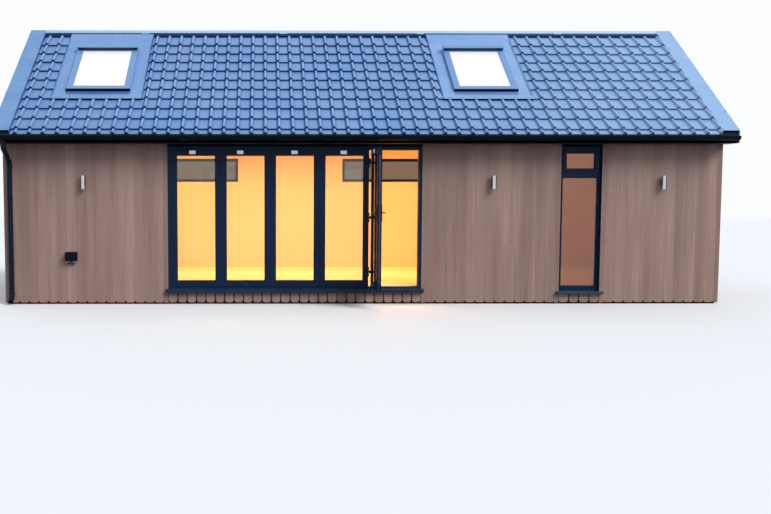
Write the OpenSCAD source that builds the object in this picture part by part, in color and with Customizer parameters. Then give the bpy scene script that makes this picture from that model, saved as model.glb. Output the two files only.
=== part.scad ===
// Garden room: timber-framed, clad in upright boards, under a dual-pitch sheet roof.
// The front faces -Y, +X is to the right of someone looking at it, and Z is 0 at the ground.

/* [Building] */
// Length over the cladding
body_l = 10160; // [9600:20:12000]
// Depth over the cladding
body_d = 3600; // [3400:20:4400]
// Thickness of the cladding boards and the trims that stop them
clad_t = 22; // [16:1:30]
// Thickness of the insulated wall panels
wall_t = 150; // [120:5:180]
// Height of the base frame above the ground
base_h = 130; // [110:1:150]
// Inset of the base frame's sides behind the wall panels
base_inset = 10; // [0:1:30]
// Height of the finished floor above the ground
floor_z = 252; // [246:1:280]
// Height of the lower edge of the trims above the ground
trim_z = 18; // [8:1:30]
// Height of the soffit's underside above the ground
soffit_z = 2262; // [2240:1:2400]
// Height of the heads of the doors and windows
head_z = 2231; // [2190:1:2240]

/* [Roof] */
// Pitch of both slopes in degrees
pitch = 40; // [35:1:45]
// Reach of the sheets past the front and rear walls
eaves_out = 300; // [260:10:380]
// Reach of the verge flashings past the gable walls
verge_out = 60; // [45:5:100]
// Height of the eaves edge of the sheets above the soffit's underside
eaves_h = 118; // [105:1:150]
// Thickness of the roof panels, square to the slope
roof_t = 170; // [140:5:200]
// Thickness of the sheets and battens that lap over the gutters
lip_t = 18; // [14:1:22]
// Height of the raised sheets' highest points above their lowest pans
roll_h = 40; // [30:1:50]
// Distance between the sheets' rolls, which run up the slopes
roll_pitch = 190; // [180:1:200]
// Place of one roll along the building
roll_x = -1390; // [-1480:5:-1300]
// Width of a roll at its foot
roll_w = 48; // [40:2:56]
// Height of a roll's crown above the pan beside it
roll_rise = 19; // [14:1:24]

/* [Flashings] */
// Width of a verge flashing across the slope
verge_w = 240; // [180:5:300]
// Depth of a verge flashing's outer leaf
verge_drop = 150; // [100:5:200]
// Thickness of folded sheet in the flashings
sheet_t = 3; // [2:0.5:5]
// Reach of the ridge flashing down each slope, level with the ground
ridge_w = 62; // [50:1:120]
// Setback of the closure under the ridge flashing behind its edge
ridge_in = 30; // [20:1:45]

/* [Gutters] */
// Outer radius of the half-round gutters
gutter_r = 56; // [45:1:65]
// Wall thickness of the gutters and pipes
gutter_wall = 4; // [3:0.5:6]
// Depth of the gutters' rims below the eaves edge of the sheets
gutter_drop = 30; // [28:1:45]
// Number of lengths that make up each gutter
gutter_n = 4; // [4:1:6]
// Gap between two lengths, under their union
gutter_joint = 6; // [4:1:10]
// Height of the swan necks' upper bend below the gutters
neck_drop = 90; // [80:5:140]
// Thickness of the fascia boards
fascia_t = 20; // [16:1:28]
// Thickness of the soffit boards
soffit_t = 9; // [6:1:15]
// Outer radius of the downpipes
pipe_r = 38; // [30:1:45]
// Distance of the downpipes' axis from the building's end
pipe_in = 105; // [90:5:200]
// Gap between the downpipes and the boards behind them
pipe_gap = 18; // [10:1:40]
// Height of the downpipes' open ends above the ground
pipe_end_z = 50; // [40:5:150]

/* [Folding doors] */
// Width over the outer frame
door_w = 3600; // [3300:10:3800]
// Distance of the doors' middle from the building's middle
door_x = -970; // [-1200:10:-900]
// Number of leaves
leaf_n = 5; // [5:1:5]
// Height of the frame's underside above the ground
frame_z = 221; // [200:1:240]
// Height of the nose of the doors' cill
cill_h = 47; // [40:1:60]
// Fall of the doors' cill from the frame to its nose
cill_fall = 10; // [6:1:16]
// Reach of the doors' cill past the frame at each end
cill_end = 24; // [10:1:50]
// Width of the frame's sides and head on the face
frame_w = 50; // [40:1:60]
// Height of the threshold rail
thresh_h = 22; // [18:1:40]
// Depth of the outer frame
frame_d = 84; // [70:1:100]
// Setback of the frame's face behind the cladding
frame_in = 8; // [2:1:20]
// Width of the leaves' uprights on the face
stile_w = 73; // [60:1:85]
// Height of the leaves' head rails on the face
rail_h = 66; // [55:1:80]
// Height of the leaves' foot rails on the face
foot_rail_h = 80; // [66:1:100]
// Thickness of the leaves
leaf_t = 60; // [50:1:66]
// Setback of the leaves' face behind the frame's face
leaf_in = 7; // [4:1:12]
// Gap round each fixed leaf
leaf_gap = 4; // [3:0.5:6]
// Gap between the access leaf and the leaf that carries it
swing_gap = 6; // [5.5:0.5:8]
// Gap between the access leaf and the frame at its lock side
lock_gap = 10; // [10:0.5:14]
// Gap below and above the leaves
head_gap = 6; // [5.5:0.5:8]
// Distance of the hinge axis in front of the leaves' outer face
hinge_out = 22; // [16:1:30]
// Radius of the hinge knuckles
knuckle_r = 8; // [6:0.5:10]
// Height of one hinge knuckle
knuckle_h = 40; // [30:1:50]
// Height of the lever handles above the floor
lever_h = 1055; // [950:5:1100]
// Length of a lever
lever_l = 118; // [100:1:140]
// Radius of a lever's bar
lever_r = 9; // [7:0.5:11]
// Distance of a lever's axis from the leaf
lever_out = 46; // [40:1:60]
// Height of the plate that carries a lever
lever_plate_h = 230; // [180:5:260]

/* [Glass] */
// Thickness of a sealed double-glazed unit
glass_t = 24; // [20:1:28]
// Depth to which a unit's edge sits in its frame
bite = 12; // [8:1:16]
// Height of the step of a glazing bead
bead = 9; // [6:1:12]
// Gap at each side of a unit inside its groove
glass_gap = 1; // [0.5:0.5:2]

/* [Narrow window] */
// Width over the frame
side_w = 582; // [480:2:700]
// Distance of its middle from the building's middle
side_x = 3086; // [2700:2:3600]
// Width of the frame on the face
side_frame = 42; // [36:1:55]
// Setback of the frame's face behind the cladding
side_in = 48; // [30:1:60]
// Depth of the window frames
win_d = 62; // [55:1:70]
// Height of the transom's underside
transom_z = 1797; // [1650:1:1850]
// Height of the transom
transom_h = 74; // [60:1:90]
// Width of the top light's own rails
sash_w = 44; // [34:1:50]
// Height of the narrow window's underside above the ground
side_z = 184; // [170:1:210]
// Height of the frame's foot rail on the face
side_foot = 62; // [50:1:75]
// Height of the sill's nose
sill_h = 24; // [18:1:30]
// Reach of both sills past the cladding
sill_out = 55; // [40:1:80]
// Reach of the narrow window's sill past its frame at each end
sill_end = 36; // [20:1:50]
// Fall of the narrow window's sill from its frame to its nose
sill_fall = 15; // [8:1:20]

/* [Rear windows] */
// Width of each window
rear_w = 1500; // [1200:10:1700]
// Height of their underside
rear_z = 1809; // [1740:1:1860]
// Clear distance between the two windows
rear_apart = 1900; // [1600:10:2100]
// Distance of the pair's middle from the doors' middle
rear_shift = 40; // [-60:5:100]

/* [Roof windows] */
// Width over the frame
rooflight_w = 942; // [780:2:1140]
// Length over the frame
rooflight_l = 1178; // [980:2:1400]
// Distance of the frame's lower edge from the eaves, up the slope
rooflight_up = 1020; // [900:5:1060]
// Distances of their middles from the building's middle
rooflight_x = [-3820, 1835];
// Width of the flashing beside each frame
flash_w = 176; // [140:1:220]
// Width of the flashing apron below each frame
apron_l = 185; // [140:1:220]
// Height of the flashing trays above the sheets' pans
flash_h = 24; // [15:1:30]

/* [Fittings] */
// Width of the corner and opening trims
trim_w = 60; // [50:1:80]
// Height of the wall lights' middle
light_z = 1726; // [1500:1:1900]
// Length of a wall light's tube
light_l = 187; // [150:1:230]
// Radius of a wall light's tube
light_r = 32; // [26:1:45]
// Distance of a wall light's axis from the boards
light_out = 58; // [50:1:80]
// Places of the wall lights along the front
light_x = [-3949, 1830, 4233];
// Width of the socket box
socket_w = 165; // [130:1:200]
// Height of the socket box
socket_h = 124; // [100:1:160]
// Depth of the socket box
socket_d = 86; // [60:2:110]
// Place of the socket box along the front
socket_x = -4135; // [-4300:5:-3700]
// Height of the socket box's middle
socket_z = 683; // [400:1:900]
// Length of the cable glands below the socket box
gland_l = 46; // [30:1:60]
// Radius of the cable glands
gland_r = 17; // [12:1:20]
// Height of the skirting boards
skirt_h = 84; // [60:1:120]
// Thickness of the skirting boards
skirt_t = 16; // [12:1:20]

/* [Hidden] */

$fn = 48;
eps = 1;
fit = 0.05;
through = 400;
front_y = -body_d / 2;
panel_x = body_l / 2 - clad_t;
panel_y = body_d / 2 - clad_t;
room_x = panel_x - wall_t;
room_y = panel_y - wall_t;

slope = tan(pitch);
steep = cos(pitch);
eaves_y = body_d / 2 + eaves_out;
eaves_z = soffit_z + eaves_h;
ridge_z = eaves_z + eaves_y * slope;
slope_l = eaves_y / steep;
roof_x = body_l / 2 + verge_out - sheet_t;
lap = 40;
fascia_y = eaves_y - lap;
flash_top = roll_h + sheet_t;

door_l = door_x - door_w / 2;
door_r = door_x + door_w / 2;
leaf_module = (door_w - 2 * frame_w) / leaf_n;
leaf_z = frame_z + thresh_h + head_gap;
leaf_h = head_z - frame_w - head_gap - leaf_z;
frame_y = front_y + frame_in;
leaf_y = frame_y + leaf_in;
hinge_x = door_l + frame_w + (leaf_n - 1) * leaf_module;
hinge_y = leaf_y - hinge_out;
hinge_steps = [0.1, 0.5, 0.9];

side_l = side_x - side_w / 2;
side_r = side_x + side_w / 2;
side_y = front_y + side_in;
sash_step = 10;

rear_mid = door_x + rear_shift;
rear_x = [rear_mid - rear_apart / 2 - rear_w / 2, rear_mid + rear_apart / 2 + rear_w / 2];
rear_y = body_d / 2 - side_in;

anthracite = "#20303f";
board_brown = "#8b6f66";
roof_blue = "#7f93ad";
black = "#12161c";
pale_flashing = "#a9bdd6";
steel = "#c9ccd0";
clear_blue = [0.6, 0.75, 0.85, 0.35];

// Height on a roof slope at distance y from the ridge, raised by n square to the slope
function roof_z(y, n) = ridge_z - abs(y) * slope + n / steep;

// Height of a surface that bears against a slope from below
function bearing_z(y, n) = roof_z(y, n) - fit;

// A box from its lowest to its highest corner
module block(low, high) {
    translate(low) cube(high - low);
}

// A shape drawn as [y, z] points and drawn out along X
module along_x(x0, x1) {
    translate([x0, 0, 0]) rotate([90, 0, 90]) linear_extrude(x1 - x0) children();
}

// Both slopes as one folded band between two heights above the sheets' pans
module chevron(reach, top, bottom) {
    polygon([
        [-reach, roof_z(reach, top)], [0, roof_z(0, top)], [reach, roof_z(reach, top)],
        [reach, roof_z(reach, bottom)], [0, roof_z(0, bottom)], [-reach, roof_z(reach, bottom)]
    ]);
}

// The front slope's own frame: X along the eaves, Y up the slope, Z square to it
module on_slope() {
    translate([0, -eaves_y, eaves_z]) rotate([pitch, 0, 0]) children();
}

// A rectangular frame in the XZ plane whose face is at y0, with a bead step round its opening
module ring_frame(x0, x1, z0, z1, side, foot, head, y0, depth) {
    low = [x0 + side, y0 - eps, z0 + foot];
    high = [x1 - side, y0 + depth + eps, z1 - head];
    difference() {
        block([x0, y0, z0], [x1, y0 + depth, z1]);
        block(low, high);
        block(low - [bead, 0, bead], [high[0] + bead, y0 + bead, high[2] + bead]);
        pane_groove(low[0], high[0], low[2], high[2], y0, depth);
    }
}

// The groove that holds a sealed unit, cut at the middle of a frame's depth
module pane_groove(x0, x1, z0, z1, y0, depth) {
    half = glass_t / 2 + glass_gap;
    mid = y0 + depth / 2;
    grip = bite + glass_gap;
    block([x0 - grip, mid - half, z0 - bite], [x1 + grip, mid + half, z1 + grip]);
}

// A sealed unit that fills an opening and stands on the bottom of its groove
module pane(x0, x1, z0, z1, y0, depth) {
    mid = y0 + depth / 2;
    color(clear_blue)
        block([x0 - bite, mid - glass_t / 2, z0 - bite], [x1 + bite, mid + glass_t / 2, z1 + bite]);
}

module base_frame() {
    x = panel_x - base_inset;
    y = panel_y - base_inset;
    color(black) block([-x, -y, 0], [x, y, base_h]);
}

module floor_deck() {
    color("burlywood") {
        block([-room_x, -room_y, base_h], [room_x, room_y, floor_z]);
        block([door_l, frame_y + frame_d, base_h], [door_r, -room_y, floor_z]);
        block([side_l, side_y + win_d, base_h], [side_r, -room_y, floor_z]);
    }
}

module front_panel(x0, x1) {
    color(board_brown) block([x0, -panel_y, base_h], [x1, -room_y, head_z]);
}

module front_wall_left() {
    front_panel(-room_x, door_l);
}

module front_wall_middle() {
    front_panel(door_r, side_l);
}

module front_wall_right() {
    front_panel(side_r, room_x);
}

// The header's top is cut to the slope of the roof panel that it carries
module front_wall_header() {
    color(board_brown) along_x(-room_x, room_x) polygon([
        [-panel_y, head_z], [-room_y, head_z],
        [-room_y, bearing_z(room_y, -roof_t)], [-panel_y, bearing_z(panel_y, -roof_t)]
    ]);
}

module rear_wall() {
    color(board_brown) difference() {
        along_x(-room_x, room_x) polygon([
            [room_y, base_h], [panel_y, base_h],
            [panel_y, bearing_z(panel_y, -roof_t)], [room_y, bearing_z(room_y, -roof_t)]
        ]);
        for (x = rear_x)
            block([x - rear_w / 2, 0, rear_z], [x + rear_w / 2, body_d, head_z]);
    }
}

module gable_wall(x0, x1) {
    color(board_brown) along_x(x0, x1) polygon([
        [-panel_y, base_h], [panel_y, base_h], [panel_y, bearing_z(panel_y, -roof_t)],
        [0, bearing_z(0, -roof_t)], [-panel_y, bearing_z(panel_y, -roof_t)]
    ]);
}

module gable_wall_left() {
    gable_wall(-panel_x, -room_x);
}

module gable_wall_right() {
    gable_wall(room_x, panel_x);
}

// Skirtings stand on the floor along the walls and stop at the doors and the narrow window
module skirting_boards() {
    top = floor_z + skirt_h;
    color("antiquewhite") {
        block([-room_x, room_y - skirt_t, floor_z], [room_x, room_y, top]);
        block([-room_x, -room_y, floor_z], [-room_x + skirt_t, room_y, top]);
        block([room_x - skirt_t, -room_y, floor_z], [room_x, room_y, top]);
        block([-room_x, -room_y, floor_z], [door_l, -room_y + skirt_t, top]);
        block([door_r, -room_y, floor_z], [side_l, -room_y + skirt_t, top]);
        block([side_r, -room_y, floor_z], [room_x, -room_y + skirt_t, top]);
    }
}

// One slope of the roof, with its eaves cut level over the soffit and its sheets lapping the gutter
module slope_profile() {
    back = fascia_y - fascia_t;
    level = soffit_z + soffit_t;
    polygon([
        [-eaves_y, roof_z(eaves_y, 0)], [0, roof_z(0, 0)], [0, roof_z(0, -roof_t)],
        [-(ridge_z - roof_t / steep - level) / slope, level], [-back, level],
        [-back, roof_z(back, -lip_t)], [-eaves_y, roof_z(eaves_y, -lip_t)]
    ]);
}

roll_foot = 16;
roll_gap = 8;
roll_head = slope_l - (ridge_w - ridge_in) / steep - roll_gap;
roll_reach = roof_x + sheet_t - verge_w - roll_w / 2 - roll_gap;
roll_first = roll_x - floor((roll_reach + roll_x) / roll_pitch) * roll_pitch;
roll_places = [roll_first : roll_pitch : roll_reach];

// Whether a roll at x runs up into one of the roof windows' flashing trays
function meets_tray(x) =
    len([for (m = rooflight_x) if (abs(x - m) < rooflight_w / 2 + flash_w + roll_w / 2 + roll_gap) m]) > 0;

// Rolls with sloping flanks and a narrow crown, from the eaves up to distance head
module rolls(places, head) {
    half = roll_w / 2;
    on_slope() translate([0, head, 0]) rotate([90, 0, 0]) linear_extrude(head - roll_foot)
        for (x = places) translate([x, 0]) polygon([
            [-half, -eps], [half, -eps], [half * 5 / 8, roll_rise * 2 / 3], [half / 3, roll_rise],
            [-half / 3, roll_rise], [-half * 5 / 8, roll_rise * 2 / 3]
        ]);
}

module roof_panel_front() {
    color(roof_blue) {
        difference() {
            along_x(-roof_x, roof_x) slope_profile();
            for (x = rooflight_x)
                on_slope() block(
                    [x - rooflight_w / 2, rooflight_up, -through],
                    [x + rooflight_w / 2, rooflight_up + rooflight_l, through]
                );
        }
        rolls([for (x = roll_places) if (!meets_tray(x)) x], roll_head);
        rolls([for (x = roll_places) if (meets_tray(x)) x], rooflight_up - apron_l - roll_gap);
    }
}

module roof_panel_rear() {
    color(roof_blue) mirror([0, 1, 0]) {
        along_x(-roof_x, roof_x) slope_profile();
        rolls([for (x = roll_places) x], roll_head);
    }
}

// A thin folded sheet over the ridge, closed down onto the pans behind its edges
module ridge_flashing() {
    edge = roof_x + sheet_t - verge_w;
    color(pale_flashing) {
        along_x(-edge, edge) chevron(ridge_w, flash_top, roll_h);
        along_x(-edge, edge) chevron(ridge_w - ridge_in, flash_top, fit);
    }
}

// A verge flashing: a top leaf over the sheets, an inner upstand and an outer leaf down the gable
module verge_flashing(side) {
    outer = roof_x + sheet_t;
    inner = outer - verge_w;
    color(pale_flashing) mirror([side < 0 ? 1 : 0, 0, 0]) {
        along_x(inner, outer) chevron(eaves_y, flash_top, roll_h);
        along_x(inner, inner + sheet_t) chevron(eaves_y, flash_top, fit);
        along_x(roof_x, outer) intersection() {
            chevron(eaves_y, flash_top, -verge_drop);
            translate([-eaves_y, soffit_z]) square([2 * eaves_y, ridge_z]);
        }
    }
}

module verge_flashing_left() {
    verge_flashing(-1);
}

module verge_flashing_right() {
    verge_flashing(1);
}

module both_eaves() {
    children();
    mirror([0, 1, 0]) children();
}

module fascia_boards() {
    top = bearing_z(fascia_y, -lip_t);
    color(black) both_eaves()
        along_x(-roof_x, roof_x) polygon([
            [-fascia_y, soffit_z], [-fascia_y + fascia_t, soffit_z],
            [-fascia_y + fascia_t, bearing_z(fascia_y - fascia_t, -lip_t)], [-fascia_y, top]
        ]);
}

module soffit_boards() {
    color(black) both_eaves()
        block([-roof_x, -fascia_y + fascia_t, soffit_z], [roof_x, -body_d / 2, soffit_z + soffit_t]);
}

gutter_gap = 3;
gutter_y = fascia_y + gutter_r + gutter_gap;
gutter_z = eaves_z - gutter_drop;
gutter_end = 16;
gutter_x = roof_x - gutter_end;
gutter_l = (2 * gutter_x - (gutter_n - 1) * gutter_joint) / gutter_n;
gutter_bead = gutter_wall * 1.2;
ledge_h = 6;
outlet_x = -(body_l / 2 - pipe_in);
outlet_drop = 22;
outlet_foot = gutter_z - gutter_r - outlet_drop;
outlet_l = 40;

// The half of a round section that lies below the gutter's rim
module lower_half(r, bore) {
    translate([-gutter_y, gutter_z]) difference() {
        circle(r);
        circle(bore);
        translate([-r - eps, 0]) square([2 * r + 2 * eps, r + eps]);
    }
}

// One length of half-round gutter with a rolled front lip and a back ledge on the fascia
module gutter_length(x0, x1) {
    back = -fascia_y - gutter_gap - gutter_wall;
    along_x(x0, x1) {
        lower_half(gutter_r, gutter_r - gutter_wall);
        translate([-gutter_y - gutter_r + gutter_wall, gutter_z]) circle(gutter_bead);
        translate([back, gutter_z - ledge_h]) square([gutter_gap + gutter_wall, ledge_h]);
    }
}

module gutter() {
    color(black) difference() {
        union() {
            for (i = [0 : gutter_n - 1]) {
                x0 = -gutter_x + i * (gutter_l + gutter_joint);
                gutter_length(x0, x0 + gutter_l);
            }
            for (x = [-gutter_x, gutter_x - gutter_wall])
                along_x(x, x + gutter_wall) lower_half(gutter_r, 0);
            translate([outlet_x, -gutter_y, outlet_foot]) cylinder(h = outlet_l, r = pipe_r + gutter_wall);
        }
        translate([outlet_x, -gutter_y, gutter_z]) rotate([0, 90, 0])
            cylinder(h = 4 * pipe_r, r = gutter_r - gutter_wall, center = true);
        translate([outlet_x, -gutter_y, outlet_foot - eps]) cylinder(h = gutter_r, r = pipe_r);
    }
}

module gutter_front() {
    gutter();
}

module gutter_rear() {
    mirror([0, 1, 0]) gutter();
}

// Unit vector from a to b, and the direction of that vector in degrees
function toward(a, b) = (b - a) / norm(b - a);
function heading(a, b) = atan2(b[1] - a[1], b[0] - a[0]);

// Distance from corner c of a pipe's line to where its bend begins
function setback(a, c, b) = bend_r * tan(abs(heading(c, b) - heading(a, c)) / 2);

// A straight length of pipe in the XY plane, drawn a little past b
module run(a, b, r) {
    translate([a[0], a[1], 0]) rotate([0, 0, heading(a, b)]) rotate([0, 90, 0])
        cylinder(h = norm(b - a) + eps, r = r);
}

// A bend that fills corner c between the runs from a and to b
module bend(a, c, b, r) {
    turn = heading(c, b) - heading(a, c);
    start = c - toward(a, c) * setback(a, c, b);
    centre = start + bend_r * sign(turn) * [-sin(heading(a, c)), cos(heading(a, c))];
    first = turn > 0 ? heading(a, c) - 90 : heading(c, b) + 90;
    translate([centre[0], centre[1], 0]) rotate([0, 0, first])
        rotate_extrude(angle = abs(turn)) translate([bend_r, 0]) circle(r);
}

// Where the straight run from point i of a pipe's line starts, and where it ends
function run_start(p, i) = i == 0 ? p[0] : p[i] + toward(p[i], p[i + 1]) * setback(p[i - 1], p[i], p[i + 1]);
function run_end(p, i) =
    i == len(p) - 2 ? p[i + 1] : p[i + 1] - toward(p[i], p[i + 1]) * setback(p[i], p[i + 1], p[i + 2]);

// Straight runs and bends along a line of points, the bends wider by the wall's step
module pipe_line(p, r) {
    for (i = [0 : len(p) - 2])
        run(run_start(p, i) - (i == 0 ? 0 : 1) * toward(p[i], p[i + 1]) * eps, run_end(p, i), r);
    for (i = [1 : len(p) - 2]) bend(p[i - 1], p[i], p[i + 1], r + socket_step);
}

// Sockets over the runs' ends at each bend
module pipe_sockets(p, r) {
    for (i = [1 : len(p) - 2]) {
        up = toward(p[i], p[i + 1]);
        run(run_end(p, i - 1) - toward(p[i - 1], p[i]) * socket_l, run_end(p, i - 1), r);
        run(run_start(p, i) - up * eps, run_start(p, i) + up * socket_l, r);
    }
}

// The pipe rises from its toe, leans out from the wall as a swan neck and meets the outlet
pipe_y = front_y - pipe_gap - pipe_r;
bend_r = 62;
socket_l = 26;
socket_step = 1;
toe_l = 70;
neck_top = gutter_z - gutter_r - neck_drop;
spigot = 8;
neck_lean = 0.8;
bracket_z = [600, 1500];
bracket_h = 24;
pipe_points = [
    [pipe_y - toe_l, pipe_end_z],
    [pipe_y, pipe_end_z + toe_l],
    [pipe_y, neck_top - (pipe_y + gutter_y) * neck_lean],
    [-gutter_y, neck_top],
    [-gutter_y, gutter_z - gutter_r - spigot]
];

module downpipe() {
    outer = pipe_r - socket_step;
    color(black) difference() {
        union() {
            translate([outlet_x, 0, 0]) rotate([90, 0, 90]) {
                pipe_line(pipe_points, outer);
                pipe_sockets(pipe_points, outer + gutter_wall);
            }
            for (z = bracket_z) {
                translate([outlet_x, pipe_y, z]) cylinder(h = bracket_h, r = outer + gutter_wall);
                block([outlet_x - bracket_h, pipe_y, z], [outlet_x + bracket_h, -panel_y, z + bracket_h]);
            }
        }
        translate([outlet_x, 0, 0]) rotate([90, 0, 90]) pipe_line(pipe_points, outer - gutter_wall);
    }
}

module downpipes() {
    both_eaves() downpipe();
}

// A frame lying on the front slope, between two heights square to it
module slope_ring(outer, inner, low, high) {
    difference() {
        block([outer[0], outer[1], low], [outer[2], outer[3], high]);
        block([inner[0], inner[1], low - eps], [inner[2], inner[3], high + eps]);
    }
}

function inset(r, d) = [r[0] + d, r[1] + d, r[2] - d, r[3] - d];
function rooflight(x) = [
    x - rooflight_w / 2, rooflight_up,
    x + rooflight_w / 2, rooflight_up + rooflight_l
];

rooflight_frame = 46;
rooflight_sash = 84;
rooflight_top = 38;
rooflight_glass_t = 20;
seat = 14;
sash_lip = 7;
sash_rise = rooflight_glass_t + glass_gap + sash_lip;
hood_l = 84;
hood_rise = 56;

module roof_window_frames() {
    color(roof_blue) for (x = rooflight_x)
        on_slope() slope_ring(rooflight(x), inset(rooflight(x), rooflight_frame), -roof_t, rooflight_top);
}

// The sash lies on the frame and holds the glass down, with a taller hood along its upper edge
module roof_window_sashes() {
    edge = 6;
    low = rooflight_top;
    high = low + sash_rise;
    glass_high = low + rooflight_glass_t;
    color(roof_blue) for (x = rooflight_x)
        on_slope() difference() {
            r = inset(rooflight(x), edge);
            rebate = inset(rooflight(x), rooflight_frame - seat - glass_gap);
            union() {
                slope_ring(r, inset(rooflight(x), rooflight_sash), low, high);
                block([r[0], r[3] + edge - hood_l, low], [r[2], r[3], high + hood_rise]);
            }
            block([rebate[0], rebate[1], low - eps], [rebate[2], rebate[3], glass_high + glass_gap]);
        }
}

// Units that rest on the frames' upper edges, under the sashes
module roof_window_glass() {
    low = rooflight_top;
    color(clear_blue) for (x = rooflight_x)
        on_slope() {
            r = inset(rooflight(x), rooflight_frame - seat);
            block([r[0], r[1], low], [r[2], r[3], low + rooflight_glass_t]);
        }
}

// A folded tray round each frame, which reaches up the slope to the ridge flashing
module roof_window_flashings() {
    ridge_gap = 12;
    top = slope_l - ridge_w / steep - ridge_gap;
    color(roof_blue) for (x = rooflight_x)
        on_slope() difference() {
            r = rooflight(x);
            block([r[0] - flash_w, r[1] - apron_l, fit], [r[2] + flash_w, top, flash_h]);
            block([r[0], r[1], -eps], [r[2], r[3], flash_h + eps]);
        }
}

// Outer frame of the folding doors: sides, head and a low threshold rail with the guide that
// carries the four closed leaves
module door_frame() {
    guide = 16;
    mid = leaf_y + leaf_t / 2;
    sill_top = frame_z + thresh_h;
    back = frame_y + frame_d;
    inner_l = door_l + frame_w;
    guide_r = leaf_r(leaf_n - 2) - stile_w;
    color(anthracite) {
        difference() {
            block([door_l, frame_y, frame_z], [door_r, back, head_z]);
            block([inner_l, frame_y - eps, sill_top], [door_r - frame_w, back + eps, head_z - frame_w]);
        }
        block([inner_l, mid - guide / 2, sill_top - eps], [guide_r, mid + guide / 2, leaf_z]);
    }
}

nose_round = 4;
groove_in = 14;
groove_w = 6;
groove_h = 5;

// Height of a sill's top at distance y, which falls away from its frame's face
function sill_z(y, face, top, fall) = top - fall * (face - y) / (face - front_y + sill_out);

// A sill's body under its frame, and its nose with a drip groove, which reaches past the opening
module sill(x0, x1, past, face, back, top, fall, nose_h) {
    nose = front_y - sill_out;
    under = top - fall - nose_h;
    along_x(x0, x1) polygon([
        [-panel_y, base_h], [back, base_h], [back, top], [face, top],
        [front_y, sill_z(front_y, face, top, fall)], [front_y, under], [-panel_y, under]
    ]);
    along_x(x0 - past, x1 + past) difference() {
        polygon([
            [nose, under], [front_y, under], [front_y, sill_z(front_y, face, top, fall)],
            [nose + nose_round, sill_z(nose + nose_round, face, top, fall)], [nose, top - fall - nose_round]
        ]);
        translate([nose + groove_in, under - eps]) square([groove_w, groove_h + eps]);
    }
}

module door_cill() {
    color(anthracite)
        sill(door_l, door_r, cill_end, frame_y, frame_y + frame_d, frame_z, cill_fall, cill_h);
}

function leaf_l(i) = door_l + frame_w + i * leaf_module + leaf_gap / 2;
function leaf_r(i) = door_l + frame_w + (i + 1) * leaf_module - (i == leaf_n - 2 ? swing_gap : leaf_gap) / 2;

module leaf(i) {
    color(anthracite)
        ring_frame(leaf_l(i), leaf_r(i), leaf_z, leaf_z + leaf_h, stile_w, foot_rail_h, rail_h, leaf_y, leaf_t);
}

module door_leaf_1() {
    leaf(0);
}

module door_leaf_2() {
    leaf(1);
}

module door_leaf_3() {
    leaf(2);
}

module door_leaf_4() {
    leaf(3);
}

module door_glass() {
    foot = leaf_z + foot_rail_h;
    head = leaf_z + leaf_h - rail_h;
    for (i = [0 : leaf_n - 2]) pane(leaf_l(i) + stile_w, leaf_r(i) - stile_w, foot, head, leaf_y, leaf_t);
}

function knuckle_z(f) = leaf_z + leaf_h * f;

hinge_plate = 36;
hinge_plate_t = 6;
hinge_block = 22;

// A hinge knuckle with its plate, and the block that sets the plate off from its leaf
module knuckle(z, side) {
    tip = hinge_x + side * hinge_plate;
    inner = tip - side * hinge_block;
    face = hinge_y - hinge_plate_t / 2;
    translate([hinge_x, hinge_y, z]) cylinder(h = knuckle_h, r = knuckle_r);
    block([min(hinge_x, tip), face, z], [max(hinge_x, tip), face + hinge_plate_t, z + knuckle_h]);
    block([min(inner, tip), face, z], [max(inner, tip), leaf_y, z + knuckle_h]);
}

// Fixed knuckles above and below the moving one, carried by leaf 4
module door_hinges() {
    color(black) for (f = hinge_steps)
        for (z = [knuckle_z(f) - knuckle_h - swing_gap, knuckle_z(f) + knuckle_h + swing_gap])
            knuckle(z, -1);
}

// The access leaf is drawn shut and turned about the hinge axis to stand open at a right angle
module opened() {
    translate([hinge_x, hinge_y, 0]) rotate([0, 0, -90]) translate([-hinge_x, -hinge_y, 0]) children();
}

swing_l = hinge_x + swing_gap / 2;
swing_r = door_r - frame_w - lock_gap;

module access_door() {
    color(anthracite) opened()
        ring_frame(swing_l, swing_r, leaf_z, leaf_z + leaf_h, stile_w, foot_rail_h, rail_h, leaf_y, leaf_t);
}

module access_door_glass() {
    opened() pane(
        swing_l + stile_w, swing_r - stile_w, leaf_z + foot_rail_h, leaf_z + leaf_h - rail_h,
        leaf_y, leaf_t
    );
}

// A lever on a long plate, on the face whose outward direction is side
module lever(face, side) {
    plate_w = 30;
    plate_t = 9;
    mirror_y = side < 0 ? [0, 1, 0] : [0, 0, 0];
    translate([swing_r - stile_w / 2, face, floor_z + lever_h]) mirror(mirror_y) {
        block([-plate_w / 2, 0, -lever_plate_h / 2], [plate_w / 2, plate_t, lever_plate_h / 2]);
        rotate([-90, 0, 0]) cylinder(h = lever_out, r = lever_r);
        translate([0, lever_out, 0]) rotate([0, -90, 0]) cylinder(h = lever_l, r = lever_r);
        translate([0, lever_out, 0]) sphere(lever_r);
        translate([-lever_l, lever_out, 0]) sphere(lever_r);
    }
}

module access_door_levers() {
    color(black) opened() {
        lever(leaf_y, -1);
        lever(leaf_y + leaf_t, 1);
    }
}

module access_door_knuckles() {
    color(black) opened() for (f = hinge_steps) knuckle(knuckle_z(f), 1);
}

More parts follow.
